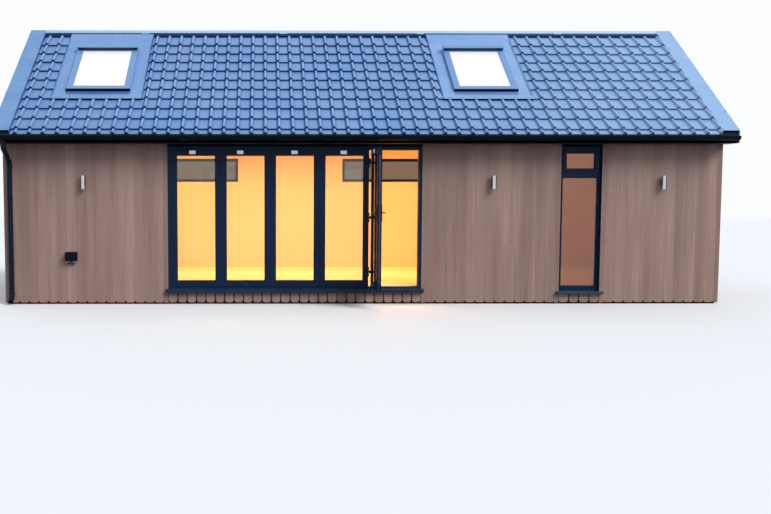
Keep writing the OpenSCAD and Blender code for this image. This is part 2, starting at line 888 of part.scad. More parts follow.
// Frame of the narrow window: an outer ring, a transom, and a lining out to the cladding's face
module narrow_window_frame() {
    x0 = side_l + side_frame;
    x1 = side_r - side_frame;
    z0 = side_z + side_foot;
    z2 = transom_z + transom_h;
    z3 = head_z - side_frame;
    line_t = 6;
    lining = [side_l + line_t, front_y - eps, side_z - eps];
    color(anthracite) difference() {
        union() {
            block([side_l, side_y, side_z], [side_r, side_y + win_d, head_z]);
            difference() {
                block([side_l, front_y, side_z], [side_r, side_y, head_z]);
                block(lining, [side_r - line_t, side_y + eps, head_z - line_t]);
            }
        }
        block([x0, side_y - eps, z0], [x1, side_y + win_d + eps, transom_z]);
        pane_groove(x0, x1, z0, transom_z, side_y, win_d);
        block([x0, side_y - eps, z2], [x1, side_y + win_d + eps, z3]);
    }
}

top_light_in = 3;
top_light_lap = 8;
top_light_z0 = transom_z + transom_h + top_light_in;
top_light_z1 = head_z - side_frame - top_light_in;
top_light_l = side_l + side_frame + top_light_in;
top_light_r = side_r - side_frame - top_light_in;

// Top-hung sash: its body fills the upper opening and its flange laps the frame's face
module narrow_window_top_light() {
    lap_out = top_light_in + top_light_lap;
    face_y = side_y - sash_step;
    w = sash_w;
    color(anthracite) {
        ring_frame(top_light_l, top_light_r, top_light_z0, top_light_z1, w, w, w, face_y, win_d);
        difference() {
            block(
                [top_light_l - lap_out, face_y, top_light_z0 - lap_out],
                [top_light_r + lap_out, side_y, top_light_z1 + lap_out]
            );
            block(
                [top_light_l + eps, face_y - eps, top_light_z0 + eps],
                [top_light_r - eps, side_y + eps, top_light_z1 - eps]
            );
        }
    }
}

module narrow_window_glass() {
    pane(side_l + side_frame, side_r - side_frame, side_z + side_foot, transom_z, side_y, win_d);
    pane(
        top_light_l + sash_w, top_light_r - sash_w, top_light_z0 + sash_w, top_light_z1 - sash_w,
        side_y - sash_step, win_d
    );
}

module narrow_window_sill() {
    color(anthracite)
        sill(side_l, side_r, sill_end, side_y, side_y + win_d, side_z, sill_fall, sill_h);
}

module rear_window_frames() {
    foot = rear_z + side_frame;
    head = head_z - side_frame;
    color(anthracite) for (x = rear_x)
        difference() {
            half = rear_w / 2 - side_frame;
            block([x - rear_w / 2, rear_y - win_d, rear_z], [x + rear_w / 2, rear_y, head_z]);
            block([x - half, 0, foot], [x + half, body_d, head]);
            pane_groove(x - half, x + half, foot, head, rear_y - win_d, win_d);
        }
}

module rear_window_glass() {
    half = rear_w / 2 - side_frame;
    for (x = rear_x)
        pane(x - half, x + half, rear_z + side_frame, head_z - side_frame, rear_y - win_d, win_d);
}

// An upright trim folded round a corner of the walls, in the depth of the boards
module corner_trim() {
    x = body_l / 2;
    y = body_d / 2;
    difference() {
        block([x - trim_w, y - trim_w, trim_z], [x, y, soffit_z]);
        block([0, 0, trim_z - eps], [x - clad_t, y - clad_t, soffit_z + eps]);
    }
}

// Trims at the corners, and flat ones beside the folding doors and the narrow window
module cladding_trims() {
    color(board_brown) {
        for (sx = [0, 1], sy = [0, 1]) mirror([sx, 0, 0]) mirror([0, sy, 0]) corner_trim();
        for (x = [door_l - trim_w, door_r, side_l - trim_w, side_r])
            block([x, front_y, trim_z], [x + trim_w, front_y + clad_t, soffit_z]);
    }
}

// A tube with a recessed lens at each end, carried off the wall by a block and a plate
module wall_light(x) {
    lens_in = 12;
    rim = 2.5;
    arm_w = 28;
    arm_h = 44;
    plate_w = 52;
    plate_h = 80;
    plate_t = 8;
    sunk = 6;
    end = light_l / 2;
    translate([x, front_y - light_out, light_z]) {
        rotate_extrude() polygon([
            [0, -end + lens_in], [light_r - rim, -end + lens_in], [light_r - rim, -end], [light_r, -end],
            [light_r, end], [light_r - rim, end], [light_r - rim, end - lens_in], [0, end - lens_in]
        ]);
        block([-arm_w / 2, light_r - sunk, -arm_h / 2], [arm_w / 2, light_out - plate_t, arm_h / 2]);
        block([-plate_w / 2, light_out - plate_t, -plate_h / 2],
            [plate_w / 2, light_out + clad_t, plate_h / 2]);
    }
}

module wall_lights() {
    color(steel) for (x = light_x) wall_light(x);
}

// Weatherproof socket box: a body with rounded corners, a hinged lid and two cable glands below
module socket_box() {
    body_depth = socket_d * 0.55;
    round = 12;
    lid_in = 4;
    hinge_r = 8;
    hinge_l = socket_w * 0.6;
    gland_apart = socket_w * 0.44;
    color(black) translate([socket_x, front_y, socket_z]) rotate([90, 0, 0]) {
        rounded_plate(socket_w, socket_h, round, -clad_t, body_depth);
        rounded_plate(socket_w - 2 * lid_in, socket_h - 2 * lid_in, round, body_depth, socket_d);
        translate([-hinge_l / 2, socket_h / 2 - hinge_r / 2, body_depth])
            rotate([0, 90, 0]) cylinder(h = hinge_l, r = hinge_r);
        for (s = [-1, 1])
            translate([s * gland_apart / 2, -socket_h / 2 + round, body_depth / 2])
                rotate([90, 0, 0]) cylinder(h = gland_l + round, r = gland_r);
    }
}

// A plate with round corners, from z0 to z1 along Z
module rounded_plate(w, h, r, z0, z1) {
    translate([0, 0, z0]) linear_extrude(z1 - z0) {
        square([w - 2 * r, h], center = true);
        square([w, h - 2 * r], center = true);
        for (sx = [-1, 1], sy = [-1, 1])
            translate([sx * (w / 2 - r), sy * (h / 2 - r)]) circle(r);
    }
}

base_frame();
floor_deck();
front_wall_left();
front_wall_middle();
front_wall_right();
front_wall_header();
rear_wall();
gable_wall_left();
gable_wall_right();
skirting_boards();
roof_panel_front();
roof_panel_rear();
ridge_flashing();
verge_flashing_left();
verge_flashing_right();
fascia_boards();
soffit_boards();
gutter_front();
gutter_rear();
downpipes();
roof_window_frames();
roof_window_sashes();
roof_window_glass();
roof_window_flashings();
door_frame();
door_cill();
door_leaf_1();
door_leaf_2();
door_leaf_3();
door_leaf_4();
door_glass();
door_hinges();
access_door();
access_door_glass();
access_door_levers();
access_door_knuckles();
narrow_window_frame();
narrow_window_top_light();
narrow_window_glass();
narrow_window_sill();
rear_window_frames();
rear_window_glass();
cladding_trims();
wall_lights();
socket_box();
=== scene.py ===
import math

import bmesh
import bpy
import numpy as np
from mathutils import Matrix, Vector


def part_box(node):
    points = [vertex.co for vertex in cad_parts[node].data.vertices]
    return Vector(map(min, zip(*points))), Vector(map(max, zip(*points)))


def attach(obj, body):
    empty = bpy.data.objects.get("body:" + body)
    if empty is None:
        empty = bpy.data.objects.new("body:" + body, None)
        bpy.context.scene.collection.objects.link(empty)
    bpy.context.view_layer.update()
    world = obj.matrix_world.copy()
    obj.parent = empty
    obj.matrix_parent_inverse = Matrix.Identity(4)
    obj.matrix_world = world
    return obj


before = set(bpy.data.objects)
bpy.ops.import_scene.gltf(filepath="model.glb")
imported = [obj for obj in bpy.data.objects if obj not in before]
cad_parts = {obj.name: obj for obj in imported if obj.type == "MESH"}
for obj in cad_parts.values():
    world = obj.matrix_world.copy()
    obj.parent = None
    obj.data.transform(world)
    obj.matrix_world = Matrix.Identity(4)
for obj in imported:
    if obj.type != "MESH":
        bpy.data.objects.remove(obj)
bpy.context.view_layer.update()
print("stage: frame loaded")

# places that the frame gives, in metres
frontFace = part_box("cladding_trims")[0].y  # face of the boards
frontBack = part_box("front_wall_left")[0].y  # face of the wall panels
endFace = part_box("cladding_trims")[1].x
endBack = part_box("gable_wall_right")[1].x
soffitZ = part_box("soffit_boards")[0].z
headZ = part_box("front_wall_header")[0].z
doorL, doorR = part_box("front_wall_left")[1].x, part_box("front_wall_middle")[0].x
sideL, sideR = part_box("front_wall_middle")[1].x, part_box("front_wall_right")[0].x
trimWidth = 0.06

# the roof: eaves edge, ridge and pitch of the sheets' pans
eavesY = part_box("roof_panel_rear")[1].y
eavesZ = soffitZ + 0.118  # top of the roof panels at that edge
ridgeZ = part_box("roof_panel_rear")[1].z
pitch = math.atan2(ridgeZ - eavesZ, eavesY)
slopeLength = math.hypot(eavesY, ridgeZ - eavesZ)
panelDepth = 0.170  # thickness of the roof panels, square to the slope
ridgeReach = 0.062 / math.cos(pitch)  # how far the ridge flashing comes down the slope
flashTop = 0.043  # top of the flashings over the pans
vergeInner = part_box("verge_flashing_right")[0].x
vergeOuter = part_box("verge_flashing_right")[1].x


def hexColour(text):
    value = [int(text[i:i + 2], 16) / 255 for i in (1, 3, 5)]
    return tuple(c / 12.92 if c <= 0.04045 else ((c + 0.055) / 1.055) ** 2.4 for c in value) + (1.0,)


# adds one node: each input is a value or the socket that feeds it, and one output socket comes back
def addNode(tree, kind, inputs=None, output=0, **settings):
    node = tree.nodes.new("ShaderNode" + kind)
    for key, value in settings.items():
        setattr(node, key, value)
    for key, value in (inputs or {}).items():
        if isinstance(value, bpy.types.NodeSocket):
            tree.links.new(value, node.inputs[key])
        else:
            node.inputs[key].default_value = value
    return node.outputs[output]


def startMaterial(name, colour, **sockets):
    material = bpy.data.materials.new(name)
    material.use_nodes = True
    tree = material.node_tree
    shader = tree.nodes["Principled BSDF"]
    shader.inputs["Base Color"].default_value = hexColour(colour)
    for key, value in sockets.items():
        shader.inputs[key.replace("_", " ")].default_value = value
    return material, tree, shader, addNode(tree, "TexCoord", output="Object")


# what a layer can follow besides a noise: the place along the building, the piece's own tone, and how far
# a face turns away from the eye; each is a node, its output and its settings
readings = {
    "along": ("SeparateXYZ", "X", {}), "tone": ("Attribute", "Fac", {"attribute_name": "tone"}),
    "turned": ("LayerWeight", "Facing", {}),
}


# A finish in layers over a base colour. A pattern is a noise: cycles a metre (or one number each for X, Y
# and Z), detail, and roughness if not 0.55. A ramp is (pattern, low, high) as the pattern runs from 0.3 to
# 0.7, or between two values that it gives. A layer is a colour and the ramps whose product is its amount.
# Gloss is a ramp for the roughness, and relief is (patterns, depth in metres, strength).
def layeredMaterial(name, colour, patterns, layers, gloss=None, relief=None, own=None, **sockets):
    material, tree, shader, place = startMaterial(name, colour, **sockets)
    source = own(tree, place) if own else {}
    for key, (scale, detail, *rough) in patterns.items():
        spot = place
        if isinstance(scale, tuple):
            spot, scale = addNode(tree, "Mapping", {"Vector": place, "Scale": scale}), 1.0
        source[key] = addNode(tree, "TexNoise", {"Vector": spot, "Scale": scale, "Detail": detail,
                                                 "Roughness": rough[0] if rough else 0.55})
    base = hexColour(colour)
    for tint, *ramps in layers + ([(None, gloss)] if gloss else []):
        amount = 1.0
        for key, low, high, *span in ramps:
            if key not in source:
                kind, output, settings = readings[key]
                inputs = {"Vector": place} if kind == "SeparateXYZ" else {}
                source[key] = addNode(tree, kind, inputs, output, **settings)
            start, stop = span or (0.3, 0.7)
            ramp = addNode(tree, "MapRange", {0: source[key], 1: start, 2: stop, 3: low, 4: high})
            if amount == 1.0:
                amount = ramp
            else:
                amount = addNode(tree, "Math", {0: amount, 1: ramp}, operation="MULTIPLY")
        if tint:
            base = addNode(tree, "Mix", {0: amount, 6: base, 7: hexColour(tint)}, 2, data_type="RGBA")
        else:
            tree.links.new(amount, shader.inputs["Roughness"])
    tree.links.new(base, shader.inputs["Base Color"])
    if relief:
        keys, depth, strength = relief
        height = source[keys[0]]
        for key in keys[1:]:
            height = addNode(tree, "Math", {0: height, 1: source[key]}, operation="ADD")
        bump = addNode(tree, "Bump", {"Height": height, "Distance": depth, "Strength": strength})
        tree.links.new(bump, shader.inputs["Normal"])
    return material


# a mesh given as arrays becomes a piece; a closed one gets its faces turned outwards
def makePiece(name, mesh, materials, body="building", angle=30, index=None, tone=None, closed=True):
    vertices, faces = mesh
    data = bpy.data.meshes.new(name)
    data.from_pydata(np.asarray(vertices).tolist(), [], faces if isinstance(faces, list) else faces.tolist())
    for material in materials:
        data.materials.append(material)
    if index is not None:
        data.polygons.foreach_set("material_index", np.asarray(index, dtype=np.int32))
    if tone is not None:
        values = data.attributes.new("tone", "FLOAT", "POINT").data
        values.foreach_set("value", np.asarray(tone, dtype=np.float32))
    if closed:
        shell = bmesh.new()
        shell.from_mesh(data)
        bmesh.ops.recalc_face_normals(shell, faces=shell.faces)
        shell.to_mesh(data)
        shell.free()
    data.polygons.foreach_set("use_smooth", np.ones(len(data.polygons), dtype=bool))
    data.set_sharp_from_angle(angle=math.radians(angle))
    piece = bpy.data.objects.new(name, data)
    bpy.context.scene.collection.objects.link(piece)
    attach(piece, body)


# quads between the rows and columns of a grid of points numbered row by row
def gridFaces(rows, columns, closed=False):
    r, c = np.meshgrid(np.arange(rows - 1), np.arange(columns if closed else columns - 1), indexing="ij")
    start, right = r * columns + c, r * columns + (c + 1) % columns
    return np.stack([start, right, right + columns, start + columns], axis=-1).reshape(-1, 4)


# many meshes of one kind become one: parts is an array (count, points, 3) and faces serve one part
def repeated(parts, faces):
    count, points = parts.shape[:2]
    shift = np.arange(count) * points
    if isinstance(faces, list):
        return parts.reshape(-1, 3), [[i + s for i in face] for s in shift.tolist() for face in faces]
    return parts.reshape(-1, 3), (faces[None] + shift[:, None, None]).reshape(-1, faces.shape[1])


# the faces of a box with chamfered edges, whose 8 corners hold three points each, one on each face
def chamferFaces():
    signs = np.array([[x, y, z] for x in (-1, 1) for y in (-1, 1) for z in (-1, 1)])
    number = {(tuple(s), axis): i * 3 + axis for i, s in enumerate(signs.tolist()) for axis in range(3)}
    unit = np.eye(3, dtype=int)
    faces = [[number[(tuple(s), axis)] for axis in range(3)] for s in signs.tolist()]
    for a in range(3):
        b, c = unit[(a + 1) % 3], unit[(a + 2) % 3]
        for side in (-1, 1):
            start = unit[a] * side
            ring = [start - b - c, start + b - c, start + b + c, start - b + c]
            faces.append([number[(tuple(s.tolist()), a)] for s in ring])
            for across in (-1, 1):
                low, high = start + b * across - c, start + b * across + c
                pair = [(low, a), (high, a), (high, (a + 1) % 3), (low, (a + 1) % 3)]
                faces.append([number[(tuple(s.tolist()), axis)] for s, axis in pair])
    return signs, faces


boxSigns, boxFaces = chamferFaces()


# p = middle + s (half - c), with s half on the face's own axis, for every corner s and axis
def chamferedBoxes(boxes, chamfer):
    boxes = np.asarray(boxes, dtype=float)  # rows of x0, y0, z0, x1, y1, z1
    middle, half = (boxes[:, :3] + boxes[:, 3:]) / 2, (boxes[:, 3:] - boxes[:, :3]) / 2
    cut = np.minimum(chamfer, half.min(axis=1) * 0.45)
    reach = half[:, None, None, :] - cut[:, None, None, None] * (1 - np.eye(3))[None, None]
    points = middle[:, None, None, :] + boxSigns[None, :, None, :] * reach
    return repeated(points.reshape(len(boxes), 24, 3), boxFaces)


# a profile of [radius, height] points turned about an axis at each of many centres:
# p = centre + r cos(a) u + r sin(a) v + h w, with a cap over its first and last rings
def turnedParts(profile, centres, axis, segments):
    w = np.array(Vector(axis).normalized())
    u = np.array(Vector(w).orthogonal().normalized())
    v = np.cross(w, u)
    a = np.arange(segments) * 2 * math.pi / segments
    ring = np.cos(a)[:, None] * u + np.sin(a)[:, None] * v
    r, h = np.asarray(profile, dtype=float).T
    one = r[:, None, None] * ring[None] + h[:, None, None] * w
    parts = np.asarray(centres, dtype=float)[:, None, :] + one.reshape(1, -1, 3)
    faces = gridFaces(len(r), segments, closed=True).tolist()
    faces += [list(range(segments))[::-1], list(range((len(r) - 1) * segments, len(r) * segments))]
    return repeated(parts, faces)


# a closed profile of [inset, height] points carried round rectangles with mitred corners
def carriedRound(rectangles, profile, place):
    inset, height = np.asarray(profile, dtype=float).T
    parts = []
    for x0, x1, z0, z1 in rectangles:
        a = np.stack([x0 + inset, x1 - inset, x1 - inset, x0 + inset])
        b = np.stack([z0 + inset, z0 + inset, z1 - inset, z1 - inset])
        parts.append(place(a, b, np.broadcast_to(height, a.shape)).reshape(-1, 3))
    count = len(inset)
    rows = np.arange(4)[:, None] * count
    i, j, after = np.arange(count), (np.arange(count) + 1) % count, (rows + count) % (4 * count)
    faces = np.stack([rows + i, after + i, after + j, rows + j], axis=-1)
    return repeated(np.array(parts), faces.reshape(-1, 4))


# a closed profile of [y, z] points drawn out along X between pairs of stations
def drawnAlong(profile, spans):
    profile = np.asarray(profile, dtype=float)
    count = len(profile)
    parts = np.array([[[x, y, z] for x in span for y, z in profile] for span in spans])
    i, j = np.arange(count), (np.arange(count) + 1) % count
    faces = np.stack([i, j, j + count, i + count], axis=-1).tolist()
    faces += [list(range(count))[::-1], list(range(count, 2 * count))]
    return repeated(parts, faces)


def joined(*meshes):
    vertices, faces, start = [], [], 0
    for points, quads in meshes:
        vertices.append(np.asarray(points))
        faces += [[i + start for i in face] for face in (quads if isinstance(quads, list) else quads.tolist())]
        start += len(points)
    return np.concatenate(vertices), faces


# a place on a roof slope: v up the slope from the eaves edge, n square to it; side -1 is the front
def onSlope(x, v, n, side):
    y = side * (eavesY - v * math.cos(pitch) + n * math.sin(pitch))
    return np.stack([x, y, eavesZ + v * math.sin(pitch) + n * math.cos(pitch)], axis=-1)


# a mesh drawn as x, v, n is laid on a slope
def onRoof(mesh, side=-1):
    points = np.asarray(mesh[0])
    return onSlope(points[:, 0], points[:, 1], points[:, 2], side), mesh[1]


def onBothSlopes(mesh):
    return joined(onRoof(mesh), onRoof(mesh, 1))


# the places of parts that repeat: evenly spread between two ends, both ends included
def spread(low, high, step):
    return np.linspace(low, high, max(2, round((high - low) / step) + 1))


# profiled steel roof sheet: smooth blue coating with faint cloudy patches, water streaks and fine grit, with
# painted shade darkening the left end and a painted reflection paling the right-hand end; a toned sheet has a
# painted highlight along its crowns and painted shade in its creases
def sheetMaterial(name, colour, streaks=0.06, level=0.3, toned=False):
    # the two layers that follow the place along the building are painted shade at the left end and a painted
    # reflection at the right
    layers = [("#e6effa", ("patches", 0.0, 0.12)), ("#2c4468", ("streak", 0.0, streaks)),
              ("#24426f", ("speckle", 0.0, 0.12)), ("#24426f", ("along", 0.14, 0.0, -5.0, 0.0)),
              ("#c6e6ff", ("along", 0.0, 0.26, 0.5, 5.0))]
    if toned:
        # painted shade in the creases, fading out towards the right-hand end, and a painted highlight on the
        # crowns
        layers += [("#2360a2", ("tone", 0.85, 0.0, 0.0, 0.5), ("along", 1.0, 0.0, 0.0, 4.0)),
                   ("#b7d3f6", ("tone", 0.0, 0.42, 0.5, 1.0))]
    # the speckle is drawn coarser than the real grain so that it shows
    patterns = {"patches": ((1.4, 3.0, 3.0), 5.0), "streak": ((26.0, 1.6, 1.6), 3.0), "speckle": (420.0, 2.0)}
    return layeredMaterial(name, colour, patterns, layers, ("patches", 0.38, 0.52),
                           (["speckle", "patches"], 0.0004, 0.4), Specular_IOR_Level=level)


# wood-plastic composite board: brown, in soft upright bands and brushed streaks, each board its own tone
def boardMaterial(name, light, dark, toned=True):
    patterns = {"band": ((6.5, 6.5, 0.35), 4.0, 0.6), "grain": ((75.0, 75.0, 1.6), 5.0, 0.6),
                "brush": ((420.0, 420.0, 6.0), 2.0), "stain": ((2.6, 2.6, 1.1), 4.0)}
    layers = [(dark, ("band", 0.0, 0.80)), ("#7a5d54", ("grain", 0.0, 0.32)), ("#b0958a", ("stain", 0.0, 0.20))]
    if toned:
        layers.append(("#80625a", ("tone", 0.0, 0.34, 0.0, 1.0)))
    return layeredMaterial(name, light, patterns, layers, ("grain", 0.55, 0.75),
                           (["brush", "grain"], 0.0005, 0.45), Specular_IOR_Level=0.3)


# powder-coated aluminium: dark, with a fine satin texture and a trace of dust
def coatedMaterial(name, colour, roughness=0.38, dust=0.03, level=0.2):
    return layeredMaterial(name, colour, {"fine": (1400.0, 2.0), "cloud": (3.5, 4.0)},
                           [("#8b95a3", ("cloud", 0.0, dust))], ("cloud", roughness - 0.06, roughness + 0.08),
                           (["fine"], 0.0002, 0.35), Specular_IOR_Level=level)


# moulded plastic or rubber: even colour, soft sheen and a faint moulded grain
def mouldedMaterial(name, colour, roughness, grain=700.0, level=0.15, worn="#2c333d", **sockets):
    return layeredMaterial(name, colour, {"fine": (grain, 3.0), "cloud": (6.0, 3.0)},
                           [(worn, ("cloud", 0.0, 0.15))], ("fine", roughness - 0.05, roughness + 0.07),
                           (["fine"], 0.0002, 0.4), Specular_IOR_Level=level, **sockets)


# painted plasterboard or wood: emulsion with the stipple that a roller leaves
def paintMaterial(name, colour, roughness=0.8, stippleDepth=0.0006):
    return layeredMaterial(name, colour, {"stipple": (260.0, 3.0), "cloud": (1.6, 3.0)},
                           [("#d9c7a8", ("cloud", 0.0, 0.12))], None, (["stipple"], stippleDepth, 0.4),
                           Roughness=roughness)


# where on the roof panel a point lies: beyond the walls, or within 30 mm of the sheets' pans; depth is
# the distance from the pans square to the slope, (z - ridge) cos(pitch) + |y| sin(pitch)
def panelReadings(tree, place):
    x, y, z = addNode(tree, "SeparateXYZ", {"Vector": place}).node.outputs
    values = {"x": x, "y": y, "z": z}
    for key, operation, first, second in (
            ("aside", "ABSOLUTE", "x", 0.0), ("across", "ABSOLUTE", "y", 0.0),
            ("rise", "MULTIPLY", "across", math.sin(pitch)), ("up", "MULTIPLY", "z", math.cos(pitch)),
            ("height", "SUBTRACT", "up", ridgeZ * math.cos(pitch)), ("depth", "ADD", "height", "rise"),
            ("outside", "GREATER_THAN", "depth", -0.03), ("pastEnd", "GREATER_THAN", "aside", endFace - 0.03),
            ("pastWall", "GREATER_THAN", "across", -frontBack), ("beyond", "MAXIMUM", "pastEnd", "pastWall")):
        inputs = {0: values[first], 1: values[second] if isinstance(second, str) else second}
        values[key] = addNode(tree, "Math", inputs, operation=operation)
    return values


# pale oiled ash boards, 190 mm wide and 1.9 m long, with fine joints
def floorMaterial():
    material, tree, shader, place = startMaterial("Pale ash floor boards", "#efeec6", Roughness=0.38)
    planks = addNode(tree, "TexBrick", {
        "Vector": place, "Color1": hexColour("#f3f4cd"), "Color2": hexColour("#e9e6b8"),
        "Mortar": hexColour("#b08d55"), "Scale": 1.0, "Mortar Size": 0.0012, "Brick Width": 1.9,
        "Row Height": 0.19, "Bias": 0.0}, offset=0.37, offset_frequency=2)
    lengthwise = addNode(tree, "Mapping", {"Vector": place, "Scale": (1.6, 48.0, 48.0)})
    grain = addNode(tree, "TexNoise", {"Vector": lengthwise, "Scale": 1.0, "Detail": 6.0, "Roughness": 0.62})
    amount, gloss = (addNode(tree, "MapRange", {0: grain, 1: 0.3, 2: 0.7, 3: low, 4: high})
                     for low, high in ((0.0, 0.28), (0.3, 0.48)))
    base = addNode(tree, "Mix", {0: amount, 6: planks, 7: hexColour("#d9bd84")}, 2, data_type="RGBA")
    seams = addNode(tree, "MapRange", {0: planks.node.outputs["Fac"], 1: 0.0, 2: 1.0, 3: 1.0, 4: 0.0})
    height = addNode(tree, "Math", {0: grain, 1: 0.2, 2: seams}, operation="MULTIPLY_ADD")
    bump = addNode(tree, "Bump", {"Height": height, "Distance": 0.0008, "Strength": 0.6})
    for key, socket in (("Base Color", base), ("Roughness", gloss), ("Normal", bump)):
        tree.links.new(socket, shader.inputs[key])
    return material


# clear glass: mostly see-through, with a reflection that grows towards grazing angles and a faint film
def glassMaterial(name, tint, coat=0.0):
    material, tree, shader, place = startMaterial(name, "#ffffff", Roughness=0.02, Metallic=1.0)
    clear = addNode(tree, "BsdfTransparent", {"Color": hexColour(tint)})
    edge = addNode(tree, "Fresnel", {"IOR": 1.45})
    film = addNode(tree, "TexNoise", {"Vector": place, "Scale": 2.2, "Detail": 3.0, "Roughness": 0.55})
    smear = addNode(tree, "MapRange", {0: film, 1: 0.3, 2: 0.7, 3: coat, 4: coat + 0.015})
    amount = addNode(tree, "Math", {0: edge, 1: smear}, operation="ADD")
    amount = addNode(tree, "Math", {0: amount, 1: 0.97}, operation="MINIMUM")
    mix = addNode(tree, "MixShader", {0: amount, 1: clear, 2: shader.outputs[0]})
    tree.links.new(mix, tree.nodes["Material Output"].inputs["Surface"])
    return material


# roof glass painted a bright even white: a white base stands in for the sky's reflection, a painted reflection,
# over a little clear glass
def coatedGlassMaterial():
    material = layeredMaterial("Roof glass painted with the sky's reflection", "#ffffff", {"film": (1.7, 3.0)},
                               [("#dfe8f2", ("film", 0.0, 0.06))], ("film", 0.18, 0.28))
    tree = material.node_tree
    clear = addNode(tree, "BsdfTransparent", {"Color": hexColour("#e4ecf6")})
    mix = addNode(tree, "MixShader", {0: 0.94, 1: clear, 2: tree.nodes["Principled BSDF"].outputs[0]})
    tree.links.new(mix, tree.nodes["Material Output"].inputs["Surface"])
    return material


sheetMetal = sheetMaterial("Coated steel roof sheet", "#6b96c8", toned=True)
sheetShade = sheetMaterial("Coated steel sheet edge in shade", "#0d4a93", level=0.04)
sheetRidgeShade = sheetMaterial("Coated steel sheet in the ridge flashing's shade", "#305691", level=0.1)
skirtShade = sheetMaterial("Metal skirt painted in shade", "#426cab", level=0.1)
flashingMetal = sheetMaterial("Coated steel flashing", "#719dd3", 0.04)
vergeMetal = sheetMaterial("Coated steel verge flashing", "#6b9ad0", 0.05)
ridgeMetal = sheetMaterial("Coated steel ridge flashing", "#a9c8e6", 0.03)
boardBrown = boardMaterial("Composite cladding board", "#c5a498", "#8f7168")
trimBrown = boardMaterial("Composite cladding trim", "#a6887e", "#8b6d63", toned=False)
frameMetal = coatedMaterial("Anthracite powder-coated aluminium", "#082441", dust=0.015, level=0.12)
cillMetal = coatedMaterial("Anthracite coated cill", "#112a46", 0.32, 0.06, 0.14)
sillMetal = coatedMaterial("Weathered anthracite sill", "#24415f", 0.34, 0.08, 0.2)
windowMetal = coatedMaterial("Anthracite window aluminium", "#08223d", dust=0.015, level=0.12)
skylightMetal = coatedMaterial("Blue-grey lacquered aluminium", "#6f96c9", 0.32, 0.08, 0.3)
hoodShade = coatedMaterial("Vent flap painted in the hood's shade", "#292e49", 0.45)
footShade = coatedMaterial("Foot rail and apron closure painted in shade", "#07162c", 0.45, 0.02, 0.1)
blackMetal = coatedMaterial("Black powder-coated steel", "#0b0f15", 0.45)
screwMetal = coatedMaterial("Blue-grey coated screw head", "#4a668f", 0.4, 0.1, 0.3)
plateMetal = coatedMaterial("Dull zinc lock plate", "#41404b", 0.4, 0.05, 0.3)
baseSteel = coatedMaterial("Primed base steel", "#45281f", 0.55, 0.03, 0.1)
fasciaBlack = mouldedMaterial("Black capping board", "#030a15", 0.5, 300.0, 0.0, "#0a1424")
soffitBlack = mouldedMaterial("Black soffit board", "#15202f", 0.5, 300.0, 0.2, "#1d2939")
gutterBlack = mouldedMaterial("Black gutter plastic", "#060c17", 0.38, 700.0, 0.06, "#141d2b")
pipeBlack = mouldedMaterial("Black pipe plastic", "#0a1728", 0.35, 700.0, 0.12, "#17263a")
rubberBlack = mouldedMaterial("Rubber glazing seal", "#0a0c0f", 0.7, 1200.0, 0.1)
socketBlack = mouldedMaterial("Black polycarbonate", "#060d1c", 0.42, 700.0, 0.09, "#151d2d")
foamNavy = mouldedMaterial("Navy foam closure strip", "#1a3c70", 0.8, 900.0, 0.05, "#25497f")
nylonPale = mouldedMaterial("Pale nylon", "#a6acb2", 0.5, worn="#6f747c")
# the tabs glow a little: painted light, standing in for the sky light they catch
tabWhite = mouldedMaterial("White plastic tab", "#fbfdff", 0.4, level=0.5, worn="#e6eef7",
                           Emission_Color=hexColour("#dfeaf8"), Emission_Strength=0.3)  # glows a little
lensFrost = mouldedMaterial("Frosted lamp lens", "#d8dde2", 0.25, 900.0, worn="#b6bdc4")
wallPaint = paintMaterial("Cream painted plasterboard", "#efdac2")
skirtingPaint = paintMaterial("Satin skirting paint", "#f1ddb8", 0.4, 0.0002)
floorAsh = floorMaterial()
doorGlass = glassMaterial("Clear door glass", "#f6f8f4")
sideGlass = glassMaterial("Clear window glass", "#bcb8b6", 0.03)
# the rear glass's grey tint is painted shade: it dims the pale backdrop seen through it, as the garden behind
# is dim
rearGlass = glassMaterial("Window glass tinted to stand in for the dim garden behind", "#b3a69a")
skylightGlass = coatedGlassMaterial()

# roof panel: near-black above the pans and past its walls and ends, painted shade where gaps and edges show it;
# cream ceiling below
ceiling = layeredMaterial("Roof panel faces", "#efe3cc", {"stipple": (260.0, 3.0)}, [
    ("#0a0f17", ("beyond", 0.0, 1.0, 0.0, 1.0)), ("#111a28", ("outside", 0.0, 1.0, 0.0, 1.0)),
    ("#5a5348", ("stipple", 0.0, 0.06))], None, (["stipple"], 0.0006, 0.4), panelReadings,
    Roughness=0.7, Specular_IOR_Level=0.2)

# brushed stainless steel: fine scratches round the tube, bright where it faces out and painted dark at its
# sides, a painted reflection of dark surroundings
steel = layeredMaterial("Brushed stainless steel", "#c8ccd6", {
    "scratches": ((30.0, 30.0, 2600.0), 3.0), "cloud": (14.0, 3.0)}, [
    ("#8d8d95", ("cloud", 0.0, 0.25)), ("#2e2629", ("turned", 0.0, 0.92, 0.10, 0.45))],
    ("scratches", 0.18, 0.36), (["scratches"], 0.0001, 0.5), Metallic=1.0)
print("stage: materials")

